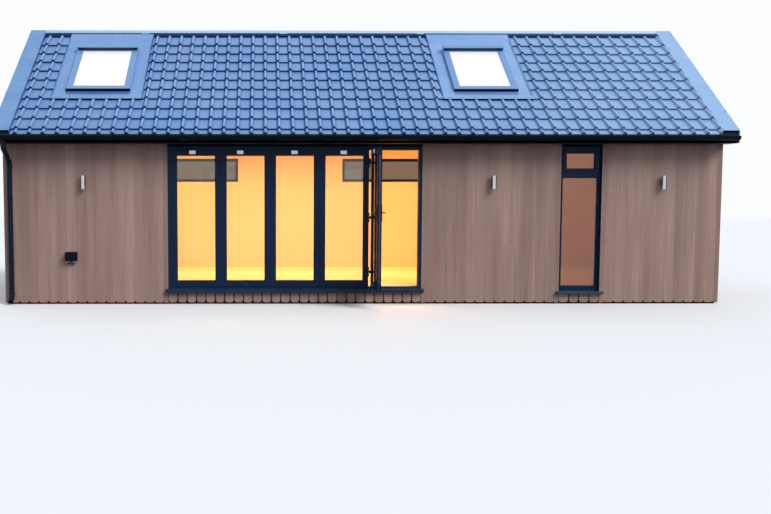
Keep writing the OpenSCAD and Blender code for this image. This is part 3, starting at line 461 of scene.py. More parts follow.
nodeMaterials = {
    baseSteel: ["base_frame"],
    floorAsh: ["floor_deck"],
    wallPaint: ["front_wall_left", "front_wall_middle", "front_wall_right", "front_wall_header", "rear_wall",
                "gable_wall_left", "gable_wall_right"],
    skirtingPaint: ["skirting_boards"],
    ceiling: ["roof_panel_front", "roof_panel_rear"],
    ridgeMetal: ["ridge_flashing"],
    vergeMetal: ["verge_flashing_left", "verge_flashing_right"],
    flashingMetal: ["roof_window_flashings"],
    fasciaBlack: ["fascia_boards"],
    soffitBlack: ["soffit_boards"],
    gutterBlack: ["gutter_front", "gutter_rear"],
    pipeBlack: ["downpipes"],
    skylightMetal: ["roof_window_frames", "roof_window_sashes"],
    skylightGlass: ["roof_window_glass"],
    frameMetal: ["door_frame", "door_leaf_1", "door_leaf_2", "door_leaf_3", "door_leaf_4", "access_door"],
    cillMetal: ["door_cill"],
    sillMetal: ["narrow_window_sill"],
    windowMetal: ["narrow_window_frame", "narrow_window_top_light", "rear_window_frames"],
    doorGlass: ["door_glass", "access_door_glass"],
    sideGlass: ["narrow_window_glass"],
    rearGlass: ["rear_window_glass"],
    blackMetal: ["door_hinges", "access_door_levers", "access_door_knuckles"],
    trimBrown: ["cladding_trims"],
    steel: ["wall_lights"],
    socketBlack: ["socket_box"],
}
for material, names in nodeMaterials.items():
    for name in names:
        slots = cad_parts[name].material_slots
        if not slots:
            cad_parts[name].data.materials.append(material)
        for slot in slots:
            slot.material = material
print("stage: CAD nodes painted")

# The sheet's height over its pans is n(x, v) = course(v) + roll * flare(v) * shape(x): every 190 mm a roll
# rises, and every 250 mm a course ends in a rounded lip that steps down onto the course below it. The rolls
# flare towards their lips, and their crowns carry a painted highlight, palest just below the course above. Rows
# up the slope give distance, height over the pans, and whether the strip above the row is painted shade (1) or
# the ridge flashing's painted shade (2).
sheets = {
    "module": 0.190, "rollAt": -1.39, "roll": 0.034, "flare": (1.16, 0.30), "course": 0.250, "first": 0.088,
    "lastLip": 2.4, "pan": 0.0005, "shadeFrom": 2.606, "ridgeGap": 0.075, "skirt": -0.002, "vergeGap": 0.014,
    "rollOffset": [-0.046, -0.032, -0.025, -0.017, -0.009, 0.0, 0.009, 0.017, 0.025, 0.032, 0.046, 0.095],
    "rollShape": [0.0, 0.02, 0.2, 0.68, 0.95, 1.0, 0.95, 0.68, 0.2, 0.02, 0.0, 0.0],
    "rollTone": [0.5, 0.10, 0.04, 0.28, 0.75, 1.0, 0.95, 0.62, 0.22, 0.28, 0.5, 0.5],
    "eaves": [(-0.006, -0.012, 0), (-0.008, 0.006, 0), (-0.004, 0.010, 0), (0.006, 0.012, 0)],
    "lip": [(0.012, 0.0005, 1), (0.001, 0.012, 1), (-0.002, 0.020, 1), (-0.001, 0.0265, 1), (0.003, 0.0290, 0),
            (0.012, 0.0300, 0), (0.030, 0.0290, 0)],
}
trays = {"middles": [-3.82, 1.835], "half": 0.647, "gap": 0.013, "foot": 0.835,
         "top": slopeLength - ridgeReach - 0.012}
trayCut = trays["half"] + trays["gap"]


def courseRows():
    rows, line = list(sheets["eaves"]), sheets["first"]
    while line < sheets["lastLip"]:
        rows += [(line + v, n, shade) for v, n, shade in sheets["lip"]]
        line += sheets["course"]
    rows += [(v, sheets["pan"], 2) for v in (sheets["shadeFrom"], slopeLength - sheets["ridgeGap"])]
    return np.array(rows).T


def sheetColumns(stops):
    module, start, limit = sheets["module"], sheets["rollAt"], vergeInner - sheets["vergeGap"]
    count = int(2 * limit / module) + 2
    first = start - math.floor((start + limit) / module + 1) * module
    x = (first + np.arange(count)[:, None] * module + np.array(sheets["rollOffset"])).ravel()
    wanted = np.unique(np.concatenate([x[(x > -limit) & (x < limit)], [-limit, limit], stops]))
    order = np.argsort(x)
    return wanted, *(np.interp(wanted, x[order], np.tile(sheets[key], count)[order])
                     for key in ("rollShape", "rollTone"))


def roofSheets(name, side, openings):
    v, n, strip = courseRows()
    x, shape, tone = sheetColumns([m + s * trayCut for m in openings for s in (-1, 1)])
    gridX, gridV = np.broadcast_arrays(x[None, :], v[:, None])
    along = ((v - sheets["first"]) / sheets["course"]) % 1.0  # 0 at a course's lip, 1 under the next one
    along[n < 2 * sheets["pan"]] = 1.0
    along[(v < sheets["first"] - 0.01) | (n > 0.015)] = 0.0
    flare = sheets["flare"][0] - sheets["flare"][1] * along
    height = n[:, None] + sheets["roll"] * flare[:, None] * shape[None, :]
    faces = gridFaces(len(v), len(x))
    strip = np.repeat(strip[:-1], len(x) - 1)
    flatX, flatV = gridX.ravel(), gridV.ravel()
    middleX, middleV = flatX[faces].mean(axis=1), flatV[faces].mean(axis=1)
    pans = np.broadcast_to(shape[None, :], gridX.shape).ravel()[faces].mean(axis=1) < 0.15
    # index 1 paints the lips' faces in shade, index 2 paints the pans under the ridge flashing in its shade
    dark = np.where(strip == 1, 1, 2 * ((strip == 2) & pans))
    keep = np.ones(len(faces), dtype=bool)
    for m in openings:
        keep &= ~((abs(middleX - m) < trayCut) & (middleV > trays["foot"]))
    faces, dark = faces[keep], dark[keep]
    edges = np.concatenate([faces[:, [k, (k + 1) % 4]] for k in range(4)])
    _, inverse, uses = np.unique(np.sort(edges, axis=1), axis=0, return_inverse=True, return_counts=True)
    # the skirts along the sheets' free edges are painted in shade (material index 1)
    rim = edges[uses[inverse.ravel()] == 1]  # edges of one face only get a skirt down to the panel
    count = len(flatX)
    skirt = np.stack([rim[:, 1], rim[:, 0], rim[:, 0] + count, rim[:, 1] + count], axis=-1)
    points = np.concatenate([onSlope(flatX, flatV, off, side)
                             for off in (height.ravel(), np.full(count, sheets["skirt"]))])
    faces = np.concatenate([faces, skirt])
    index = np.concatenate([dark, np.ones(len(skirt), dtype=int)])
    # painted highlight: the crowns' pale tone is full in the upper half of each course and weaker below; the
    # creases keep their painted shade
    bright = np.where(along > 0.5, 1.0, 0.45)[:, None]
    tones = np.where(tone[None, :] > 0.5, 0.5 + (tone[None, :] - 0.5) * bright, tone[None, :])
    tones = np.tile(tones.ravel(), 2)
    used = np.unique(faces)
    faces = np.searchsorted(used, faces)
    makePiece(name, (points[used], faces[:, ::-1] if side > 0 else faces), [sheetMetal, sheetShade, sheetRidgeShade],
              angle=28, index=index, tone=tones[used], closed=False)


roofSheets("roof_sheets_front", -1, trays["middles"])
roofSheets("roof_sheets_rear", 1, [])

# foam strips close the pans under the ridge flashing, and strips painted in shade fill the gaps beside verges
# and trays
fillers = {"low": 2.630, "high": 2.668, "height": 0.031, "end": 0.004, "from": 0.002, "to": 2.61,
           "verge": (0.006, 0.037), "tray": (0.0055, 0.033)}


def fillerRuns(openings):
    limit = vergeInner - fillers["end"]
    stops = [-limit] + [m + s * trayCut for m in openings for s in (-1, 1)] + [limit]
    return chamferedBoxes([[stops[k], fillers["low"], 0.0, stops[k + 1], fillers["high"], fillers["height"]]
                           for k in range(0, len(stops), 2)], 0.003)


def sideStrips(middles, foot, half, height):
    return [[x - half, foot, 0.001, x + half, fillers["to"], height] for x in middles]


makePiece("ridge_fillers", joined(onRoof(fillerRuns(trays["middles"])), onRoof(fillerRuns([]), 1)), [foamNavy])
vergeStrips = sideStrips([s * (vergeInner - sheets["vergeGap"] / 2) for s in (-1, 1)], fillers["from"],
                         *fillers["verge"])
trayStrips = sideStrips([m + s * (trays["half"] + trays["gap"] / 2) for m in trays["middles"] for s in (-1, 1)],
                        trays["foot"], *fillers["tray"])
makePiece("side_shade_strips", joined(onRoof(chamferedBoxes(vergeStrips + trayStrips, 0.002)),
                                        onRoof(chamferedBoxes(vergeStrips, 0.002), 1)),
          [sheetShade])

# Thin laps on the roof windows' trays, drawn as closed [v, n] sections: an apron that rises over the
# rolls at the foot, a ramp that meets the ridge flashing at the top, and a folded rim along each side.
laps = {
    "rim": 0.009, "rimHeight": 0.036, "past": 0.003, "foam": (0.822, 0.85, 0.037),
    "apron": [(0.812, 0.0415), (0.814, 0.0385), (0.862, 0.0345), (0.935, 0.0225), (0.940, 0.0250),
              (0.862, 0.0395), (0.818, 0.0440)],
    "ramp": [(2.44, 0.0225), (trays["top"], 0.0225), (2.672, 0.0340), (2.672, 0.0392), (2.60, 0.0385),
             (2.44, 0.0252)],
}
trayRims = [[m + s * trays["half"] - laps["rim"] * (s > 0), trays["foot"] - 0.01, 0.001,
             m + s * trays["half"] + laps["rim"] * (s < 0), trays["top"], laps["rimHeight"]]
            for m in trays["middles"] for s in (-1, 1)]
traySpans = [(m - trays["half"] - laps["past"], m + trays["half"] + laps["past"]) for m in trays["middles"]]
lapMesh = joined(drawnAlong(laps["apron"], traySpans), drawnAlong(laps["ramp"], traySpans),
                 chamferedBoxes(trayRims, 0.003))
makePiece("roof_window_laps", onRoof(lapMesh), [flashingMetal])
# closure strips under the aprons, their dark colour painted shade
foamLow, foamHigh, foamTop = laps["foam"]
apronFoam = [[x0, foamLow, 0.001, x1, foamHigh, foamTop] for x0, x1 in traySpans]
makePiece("apron_closure_strips", onRoof(chamferedBoxes(apronFoam, 0.002)), [footShade])

# flashings are laid in lengths: a strap covers each joint
straps = {"width": 0.11, "thick": 0.0016, "deep": 0.004, "ridgeAt": [-3.3, -1.1, 1.1, 3.3], "ridgeIn": 0.012,
          "ridgeEnd": 0.008, "vergeAt": [0.95, 1.9], "vergeOut": 0.001}
strapLow, strapTop, strapHalf = flashTop - straps["deep"], flashTop + straps["thick"], straps["width"] / 2
ridgeStraps = [[x - strapHalf, slopeLength - ridgeReach + straps["ridgeIn"], strapLow,
                x + strapHalf, slopeLength - straps["ridgeEnd"], strapTop] for x in straps["ridgeAt"]]
vergeStraps = []
for v in straps["vergeAt"]:
    for s in (-1, 1):
        low, high = sorted((s * (vergeInner - straps["vergeOut"]), s * (vergeOuter + straps["vergeOut"])))
        vergeStraps.append([low, v - strapHalf, strapLow, high, v + strapHalf, strapTop])
makePiece("ridge_straps", onBothSlopes(chamferedBoxes(ridgeStraps, 0.0008)), [ridgeMetal])
makePiece("verge_straps", onBothSlopes(chamferedBoxes(vergeStraps, 0.0008)), [vergeMetal])

# the ridge flashing's edge is folded down in a hem that stands on the crowns of the rolls, painted in shade for
# the shadow under the flashing
hem = {"end": 0.002, "out": 0.0035, "in": 0.001, "low": 0.0295, "high": 0.0425}
hemBox = [hem["end"] - vergeInner, slopeLength - ridgeReach - hem["out"], hem["low"],
          vergeInner - hem["end"], slopeLength - ridgeReach + hem["in"], hem["high"]]
makePiece("ridge_hems", onBothSlopes(chamferedBoxes([hemBox], 0.0006)), [sheetShade])

# domed screws hold the flashings' edges and the trays' laps
screws = {"head": [(0.0085, 0.0), (0.0085, 0.0014), (0.0058, 0.0018), (0.0055, 0.0035), (0.003, 0.0062),
                   (0.0001, 0.0065)],
          "ridgeEnd": vergeInner - 0.09, "ridgeStep": 0.19, "ridgeIn": 0.016, "vergeFrom": 0.06,
          "vergeTo": slopeLength - 0.1, "vergeStep": 0.45, "vergeIn": 0.022,
          "trayRows": [(2.635, 0.0387), (0.84, 0.0412)], "trayEnd": 0.57}
screwSpots = [(x, slopeLength - ridgeReach + screws["ridgeIn"], flashTop)
              for x in spread(-screws["ridgeEnd"], screws["ridgeEnd"], screws["ridgeStep"])]
screwSpots += [(s * x, v, flashTop) for x in (vergeInner + screws["vergeIn"], vergeOuter - screws["vergeIn"])
               for s in (-1, 1) for v in spread(screws["vergeFrom"], screws["vergeTo"], screws["vergeStep"])]
trayScrews = [(m + x, v, n) for v, n in screws["trayRows"] for m in trays["middles"]
              for x in spread(-screws["trayEnd"], screws["trayEnd"], screws["ridgeStep"])]
makePiece("roof_screws", joined(onRoof(turnedParts(screws["head"], screwSpots + trayScrews, (0, 0, 1), 8)),
                                onRoof(turnedParts(screws["head"], screwSpots, (0, 0, 1), 8), 1)),
          [screwMetal])
print("stage: roof sheets and flashings")

# Roof windows: a vent flap under each hood's light cap and a foot rail, both painted dark as shade, a skirt
# below it painted darker as shade, and a bead round the glass. A part gives its inset from the sash's sides,
# its start and end up the slope, its lowest and highest n, its chamfer, and what it is made of.
skylight = {"half": 0.465, "glassHalf": 0.387, "glassFrom": 1.104, "glassTo": 2.114}
skylightParts = {
    "vent_flaps": (0.012, 2.111, 2.116, 0.070, 0.112, 0.0015, hoodShade, "roof_window_metal"),
    "foot_rails": (-0.003, 1.017, 1.034, 0.0245, 0.068, 0.0015, footShade, "roof_window_metal"),
    "skirts": (0.001, 0.950, 1.021, 0.0235, 0.027, 0.001, skirtShade, "roof_sheet"),
    "hood_caps": (-0.003, 2.102, 2.195, 0.113, 0.125, 0.003, skylightMetal, "roof_window_metal"),
}
for key, (inset, v0, v1, n0, n1, chamfer, material, slot) in skylightParts.items():
    reach = skylight["half"] - inset
    partBoxes = [[m - reach, v0, n0, m + reach, v1, n1] for m in trays["middles"]]
    makePiece("roof_window_" + key, onRoof(chamferedBoxes(partBoxes, chamfer)), [material])
beadSection = [(-0.001, 0.057), (0.016, 0.057), (0.015, 0.061), (-0.001, 0.0655)]
glassEdges = [(m - skylight["glassHalf"], m + skylight["glassHalf"], skylight["glassFrom"], skylight["glassTo"])
              for m in trays["middles"]]
beads = carriedRound(glassEdges, beadSection, lambda a, b, h: np.stack([a, b, h], axis=-1))
makePiece("roof_window_beads", onRoof(beads), [skylightMetal])
print("stage: roof windows")

# A board is lofted across its width: at distance u from its edge the face stands t - g (1 - u/e) off
# the wall near a joint and t elsewhere, and its foot rises by r - sqrt(r^2 - (r - u)^2) at the corners.
boards = {"pitch": 0.138, "depth": 0.022, "groove": 0.0019, "edge": 0.0026, "round": 0.038, "foot": 0.024,
          "headGap": 0.0015, "shortPitch": 0.1328, "shortGap": 0.015, "cillGap": 0.0005,
          "returnIn": (0.038, 0.001), "returnPitch": 0.2, "returnDepth": 0.02}
randomTone = np.random.default_rng(7)


def boardRun(u0, u1, foot, top, place, pitchWanted=boards["pitch"], depth=boards["depth"], gap=0.0):
    count = max(1, round((u1 - u0) / pitchWanted))
    width = (u1 - u0) / count
    r, e, half = boards["round"], boards["edge"], width / 2 - gap / 2
    near = np.array([0, e * 0.55, e, r * 0.18, r * 0.35, r * 0.6, r])
    u = np.concatenate([near, [half], 2 * half - near[::-1]])
    away = np.minimum(u, 2 * half - u)
    face = depth - boards["groove"] * np.clip(1 - away / e, 0, 1)
    rise = np.where(away < r, r - np.sqrt(np.maximum(r * r - (r - away) ** 2, 0)), 0)
    across = u0 + gap / 2 + np.arange(count)[:, None] * width + u[None, :]
    low, high = foot(across) + rise[None, :], top(across)
    n, zero = np.broadcast_to(face[None, :], across.shape), np.zeros_like(across)
    corners = ((low, zero), (low, n), (high, n), (high, zero))
    points = np.stack([place(across, z, off) for z, off in corners], axis=2)
    columns = len(u)
    faces = gridFaces(columns, 4, closed=True).tolist()
    faces += [[3, 2, 1, 0], [(columns - 1) * 4 + k for k in range(4)]]
    tone = np.repeat(randomTone.uniform(0, 1, count), columns * 4)
    return *repeated(points.reshape(count, columns * 4, 3), faces), tone


def level(z):
    return lambda across: np.full_like(across, z)


def underRoof(across):
    return ridgeZ - np.abs(across) * math.tan(pitch) - panelDepth / math.cos(pitch) - boards["headGap"]


# a wall's own way to place u along it, z up and n off it
wallPlaces = {
    "front": lambda u, z, n: np.stack([u, frontBack - n, z], axis=-1),
    "rear": lambda u, z, n: np.stack([-u, -frontBack + n, z], axis=-1),
    "gable_right": lambda u, z, n: np.stack([endBack + n, u, z], axis=-1),
    "gable_left": lambda u, z, n: np.stack([-endBack - n, -u, z], axis=-1),
}


def cladding(wall, runs):
    runs = [boardRun(*run, wallPlaces[wall], **options) for *run, options in runs]
    makePiece("cladding_" + wall, joined(*[(points, quads) for points, quads, _ in runs]), [boardBrown],
              angle=20, tone=np.concatenate([tone for _, _, tone in runs]))


foot, wallTop = level(boards["foot"]), level(soffitZ)
endX, endY = endFace - trimWidth, -frontFace - trimWidth
sills = {"door": {"span": (doorL, doorR), "past": 0.024, "top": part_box("door_cill")[1].z, "fall": 0.010,
                  "nose": 0.047, "face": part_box("door_frame")[0].y},
         "narrow": {"span": (sideL, sideR), "past": 0.036, "top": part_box("narrow_window_sill")[1].z,
                    "fall": 0.015, "nose": 0.024, "face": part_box("narrow_window_frame")[0].y + 0.048}}
short = {"pitchWanted": boards["shortPitch"], "gap": boards["shortGap"]}
cladding("front", [(low, high, foot, wallTop, {}) for low, high in (
    (-endX, doorL - trimWidth), (doorR + trimWidth, sideL - trimWidth), (sideR + trimWidth, endX))] + [
    (*sill["span"], foot, level(sill["top"] - sill["fall"] - sill["nose"] - boards["cillGap"]), short)
    for sill in sills.values()])
rearWindow = {"edges": [(-3.38, -1.88), (0.02, 1.52)], "foot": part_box("rear_window_frames")[0].z,
              "face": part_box("rear_window_frames")[1].y, "sillDrop": 0.042, "lining": 0.005, "nose": 1.848}
rearSill = rearWindow["foot"] - rearWindow["sillDrop"]
stops = [-endX] + [s for low, high in rearWindow["edges"] for s in (low - trimWidth, high + trimWidth)] + [endX]
cladding("rear", [(-stops[k + 1], -stops[k], foot, wallTop, {}) for k in range(0, len(stops), 2)] + [
    (-high - trimWidth, -low + trimWidth, foot, level(rearSill), {}) for low, high in rearWindow["edges"]])
low, high = (-frontBack - off for off in boards["returnIn"])  # the short boards above the trims
overTrim = {"pitchWanted": boards["returnPitch"], "depth": boards["returnDepth"]}
for wall in ("gable_right", "gable_left"):
    cladding(wall, [(-endY, endY, foot, underRoof, {})] + [
        (*span, level(soffitZ + 0.001), underRoof, overTrim) for span in ((low, high), (-high, -low))])

# trims, linings and sills round the rear windows, as the front openings have
rearTrims, rearLinings, liningFace = [], [], 0.002 - frontFace
for low, high in rearWindow["edges"]:
    rearTrims += [[low - trimWidth, -frontBack, rearSill, low, -frontFace, soffitZ],
                  [high, -frontBack, rearSill, high + trimWidth, -frontFace, soffitZ],
                  [low, -frontBack, headZ, high, -frontFace, soffitZ]]
    rearLinings += [[x0, rearWindow["face"], z0, x1, liningFace, headZ] for x0, z0, x1 in (
        (low, rearWindow["foot"], low + rearWindow["lining"]),
        (high - rearWindow["lining"], rearWindow["foot"], high), (low, headZ - rearWindow["lining"], high))]
makePiece("rear_window_trims", chamferedBoxes(rearTrims, 0.0015), [trimBrown])
makePiece("rear_window_linings", chamferedBoxes(rearLinings, 0.001), [windowMetal])
sillTop, sillNose = rearWindow["foot"], rearWindow["nose"]
rearSillSection = [
    (-frontBack, rearSill), (0.001 - frontFace, rearSill), (0.001 - frontFace, rearSill + 0.014),
    (sillNose - 0.010, rearSill + 0.012), (sillNose - 0.010, rearSill + 0.007),
    (sillNose - 0.002, rearSill + 0.006), (sillNose, rearSill + 0.009), (sillNose, rearSill + 0.026),
    (sillNose - 0.004, rearSill + 0.030),
    (rearWindow["face"], sillTop), (rearWindow["face"], sillTop - 0.02), (-frontBack, sillTop - 0.02)]
makePiece("rear_window_sills", drawnAlong(rearSillSection, [(low + 0.001, high - 0.001)
                                                            for low, high in rearWindow["edges"]]),
          [sillMetal])
print("stage: cladding")

# black strips between the soffit and the heads of the doors and the narrow window
headStrips = [[left, frontFace, headZ + 0.0005, right, frontBack, soffitZ - 0.0005]
              for left, right in ((doorL, doorR), (sideL, sideR))]
makePiece("head_strips", chamferedBoxes(headStrips, 0.002), [fasciaBlack])

# The leaves stand 700 mm apart. Soft seals fill the gaps round the closed ones.
leaves = {"first": doorL + 0.050, "module": 0.700, "count": 4, "face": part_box("door_leaf_1")[0].y,
          "thick": 0.060, "low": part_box("door_leaf_1")[0].z, "high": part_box("door_leaf_1")[1].z,
          "stile": 0.073, "foot": 0.080, "head": 0.066, "glass": 0.024, "last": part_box("door_leaf_4")[1].x,
          "gap": 0.002, "endGap": 0.003, "seal": (0.006, 0.016), "sealHalf": 0.00195, "sealLap": 0.0002,
          "sealHeight": 0.0062}
sealY = [leaves["face"] + off for off in leaves["seal"]]
sealBoxes = [[x - leaves["sealHalf"], sealY[0], leaves["low"], x + leaves["sealHalf"], sealY[1], leaves["high"]]
             for x in (leaves["first"] + k * leaves["module"] for k in (1, 2, 3))]
sealBoxes += [[leaves["first"], sealY[0], z0, x1, sealY[1], z1] for z0, x1, z1 in (
    (leaves["low"], leaves["first"] + leaves["gap"], leaves["high"]),
    (leaves["high"] - leaves["sealLap"], leaves["last"], leaves["high"] + leaves["sealHeight"]),
    (leaves["low"] - leaves["sealHeight"], leaves["last"], leaves["low"] + leaves["sealLap"]))]
makePiece("door_seals", chamferedBoxes(sealBoxes, 0.0006), [rubberBlack])

# A seal is a wedge between a frame's reveal and the glass: it starts at the reveal, 7 mm high, and
# thins out 8 mm along the glass
sealWedge = [(-0.0008, -0.0008), (0.008, -0.0008), (0.0075, 0.0018), (0.0035, 0.0062), (-0.0008, 0.0070)]


def glassSeals(rectangles, outer):
    sides = ((outer, -1), (outer + leaves["glass"], 1))
    return joined(*[carriedRound(rectangles, sealWedge,
                                 lambda a, b, h: np.stack([a, face + way * h, b], axis=-1))
                    for face, way in sides])


def leafGlass(x0, x1):
    return (x0 + leaves["stile"], x1 - leaves["stile"], leaves["low"] + leaves["foot"],
            leaves["high"] - leaves["head"])


glassFace = leaves["face"] + leaves["thick"] / 2 - leaves["glass"] / 2
closedGlass = []
for k in range(leaves["count"]):
    hung, gap = leaves["first"] + k * leaves["module"], "endGap" if k == leaves["count"] - 1 else "gap"
    closedGlass.append(leafGlass(hung + leaves["gap"], hung + leaves["module"] - leaves[gap]))
narrow = {"face": sills["narrow"]["face"], "deep": 0.062, "frame": 0.042, "foot": 0.062,
          "low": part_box("narrow_window_frame")[0].z, "transom": 1.797, "transomHigh": 0.074, "step": 0.010,
          "sash": 0.044, "gap": 0.003}
narrowMain = [(sideL + narrow["frame"], sideR - narrow["frame"], narrow["low"] + narrow["foot"],
               narrow["transom"])]
rim = narrow["gap"] + narrow["sash"]
narrowTop = [(sideL + narrow["frame"] + rim, sideR - narrow["frame"] - rim,
              narrow["transom"] + narrow["transomHigh"] + rim, headZ - narrow["frame"] - rim)]
narrowGlass = narrow["face"] + narrow["deep"] / 2 - leaves["glass"] / 2
rearPanes = [(low + narrow["frame"], high - narrow["frame"], rearWindow["foot"] + narrow["frame"],
              headZ - narrow["frame"]) for low, high in rearWindow["edges"]]
rearGlassOuter = rearWindow["face"] - narrow["deep"] / 2 - leaves["glass"] / 2
makePiece("glazing_seals", joined(
    glassSeals(closedGlass, glassFace), glassSeals(narrowMain, narrowGlass),
    glassSeals(narrowTop, narrowGlass - narrow["step"]), glassSeals(rearPanes, rearGlassOuter),
), [rubberBlack])

# The access leaf is drawn shut and turned a quarter about its hinges, as it stands in the frame
swing = {"x": 0.080, "y": leaves["face"] - 0.022, "left": 0.083, "right": 0.770, "in": 0.001,
         "plate": (-1.7645, -1.7455, 0.36, 2.07), "plateOut": 0.002, "sealAt": (0.008, 0.048),
         "sealWide": 0.005, "sealOut": 0.0035, "sealEnd": 0.004}


def opened(mesh):
    points = np.asarray(mesh[0])
    x, y = swing["x"] + points[:, 1] - swing["y"], swing["y"] - points[:, 0] + swing["x"]
    return np.stack([x, y, points[:, 2]], axis=-1), mesh[1]


makePiece("access_glazing_seals", opened(glassSeals([leafGlass(swing["left"], swing["right"])], glassFace)),
          [rubberBlack], "access_leaf")
y0, y1, z0, z1 = swing["plate"]
lockPlate = [[swing["right"] - swing["in"], y0, z0, swing["right"] + swing["plateOut"], y1, z1]]
makePiece("access_lock_plate", opened(chamferedBoxes(lockPlate, 0.0006)), [plateMetal],
          "access_leaf")
edgeSeals = [[swing["right"] - swing["in"], y, leaves["low"] + swing["sealEnd"],
              swing["right"] + swing["sealOut"], y + swing["sealWide"], leaves["high"] - swing["sealEnd"]]
             for y in (leaves["face"] + off for off in swing["sealAt"])]
makePiece("access_edge_seals", opened(chamferedBoxes(edgeSeals, 0.0012)), [rubberBlack],
          "access_leaf")

# pale plastic tabs on the leaves' head rails
tabs = {"middles": [-2.417, -1.744, -0.978, -0.283], "open": 0.385, "width": 0.088, "low": 2.125, "high": 2.173,
        "thick": 0.004, "in": 0.001}


def tabBoxes(middles):
    half = tabs["width"] / 2
    return chamferedBoxes([[x - half, leaves["face"] - tabs["thick"], tabs["low"],
                            x + half, leaves["face"] + tabs["in"], tabs["high"]] for x in middles], 0.0015)


makePiece("leaf_tabs", tabBoxes(tabs["middles"]), [tabWhite])
makePiece("access_leaf_tab", opened(tabBoxes([tabs["open"]])), [tabWhite], "access_leaf")

# end caps close the cills' noses
caps = {"nose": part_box("door_cill")[0].y, "wide": 0.004, "lip": 0.0015}
capMeshes = []
for sill in sills.values():
    back, front = frontFace, caps["nose"] - caps["lip"]
    rise = sill["fall"] * (frontFace - caps["nose"]) / (sill["face"] - caps["nose"])
    edge, under = sill["top"] - sill["fall"], sill["top"] - sill["fall"] - sill["nose"] - caps["lip"]
    section = [(front, under), (back, under), (back, edge + rise + 0.002), (caps["nose"] + 0.003, edge + 0.002),
               (front, edge - 0.003)]
    left, right = sill["span"][0] - sill["past"], sill["span"][1] + sill["past"]
    capMeshes.append(drawnAlong(section, [(left - caps["wide"], left), (right, right + caps["wide"])]))
makePiece("cill_end_caps", joined(*capMeshes), [frameMetal])
print("stage: doors and windows")

# Unions and brackets hold the half-round gutters: each is an arc band below the rim, y = r cos(a),
# z = r sin(a), with a clip over the front bead and an arm back to the fascia board
gutters = {"radius": 0.056, "y": 2.119, "z": eavesZ - 0.030, "union": (0.10, 0.0045),
           "bracket": (0.026, 0.003), "bracketStep": 0.95, "bracketEnd": 0.30, "bracketClear": 0.08,
           "edge": 5.121, "joints": 3, "fit": 0.0002}


def arcBand(thick, segments=16):
    a = np.linspace(math.pi, 2 * math.pi, segments + 1)
    inner = gutters["radius"] - gutters["fit"]
    arcs = [np.stack([-gutters["y"] + r * np.cos(a), gutters["z"] + r * np.sin(a)], axis=-1)
            for r in (inner + thick, inner)]
    return np.concatenate([arcs[0], arcs[1][::-1]])


def fittingSpans(middles, width):
    return [(x - width / 2, x + width / 2) for x in middles]


joints = [gutters["edge"] * (2 * k / (gutters["joints"] + 1) - 1) for k in range(1, gutters["joints"] + 1)]
unionSpans = fittingSpans(joints, gutters["union"][0])
lastBracket = gutters["edge"] - gutters["bracketEnd"]
brackets = [x for x in spread(-lastBracket, lastBracket, gutters["bracketStep"])
            if min(abs(x - j) for j in joints) > gutters["bracketClear"]]
bracketSpans = fittingSpans(brackets, gutters["bracket"][0])
lipY, backY, rimZ = -gutters["y"] - gutters["radius"], -gutters["y"] + gutters["radius"], gutters["z"]
clips = [[x0, lipY - 0.006, rimZ - 0.012, x1, lipY + 0.008, rimZ + 0.0085]
         for x0, x1 in unionSpans + bracketSpans]
arms = [[x0, backY - 0.002, rimZ - 0.050, x1, backY + 0.0035, rimZ - 0.001] for x0, x1 in bracketSpans]
gutterMesh = joined(drawnAlong(arcBand(gutters["union"][1]), unionSpans),
                    drawnAlong(arcBand(gutters["bracket"][1]), bracketSpans),
                    chamferedBoxes(clips, 0.002), chamferedBoxes(arms, 0.001))
for place, side in (("front", 1), ("rear", -1)):
    placed = gutterMesh[0] * [1, side, 1], gutterMesh[1]
    makePiece("gutter_fittings_" + place, placed, [gutterBlack])

# wall lights: a frosted lens in each end of the tube, and two screws in the plate
lights = {"places": [-3.949, 1.830, 4.233], "z": 1.726, "y": frontFace - 0.058, "lensOut": 0.0815,
          "lens": [(0.0, 0.0), (0.0288, 0.0), (0.0288, 0.002), (0.020, 0.0055), (0.0001, 0.007)],
          "screwOut": 0.008, "screwApart": 0.032,
          "dome": [(0.0, -0.001), (0.0042, -0.001), (0.0042, 0.001), (0.003, 0.0024), (0.0001, 0.003)]}
lensMesh = joined(*[turnedParts(lights["lens"], [(x, lights["y"], lights["z"] + s * lights["lensOut"])
                                                 for x in lights["places"]], (0, 0, s), 20) for s in (1, -1)])
makePiece("wall_light_lenses", lensMesh, [lensFrost])
lightScrews = [(x, frontFace - lights["screwOut"], lights["z"] + s * lights["screwApart"])
               for x in lights["places"] for s in (-1, 1)]
makePiece("wall_light_screws", turnedParts(lights["dome"], lightScrews, (0, -1, 0), 10), [steel])

# socket box: a raised panel and a latch on the lid, and pale nuts on the cable glands
socket = {"x": -4.135, "z": 0.683, "front": frontFace - 0.086, "glandOut": 0.0363,
          "glandY": frontFace - 0.02365, "glandZ": -0.063,
          "lid": [(0.062, -0.040, 0.044, 0.0025), (0.018, -0.058, -0.045, 0.006)],
          "nut": [(0.0171, 0.0), (0.0215, 0.0), (0.0225, 0.002), (0.0225, 0.016), (0.0205, 0.019),
                  (0.0195, 0.030), (0.0171, 0.030)]}
lidBoxes = [[socket["x"] - half, socket["front"] - out, socket["z"] + low, socket["x"] + half,
             socket["front"] + 0.001, socket["z"] + high] for half, low, high, out in socket["lid"]]
makePiece("socket_lid_details", chamferedBoxes(lidBoxes, 0.003), [socketBlack])
glands = [(socket["x"] + s * socket["glandOut"], socket["glandY"], socket["z"] + socket["glandZ"])
          for s in (-1, 1)]
makePiece("cable_gland_nuts", turnedParts(socket["nut"], glands, (0, 0, -1), 16), [nylonPale],
          angle=40)
print("stage: gutters and fittings")

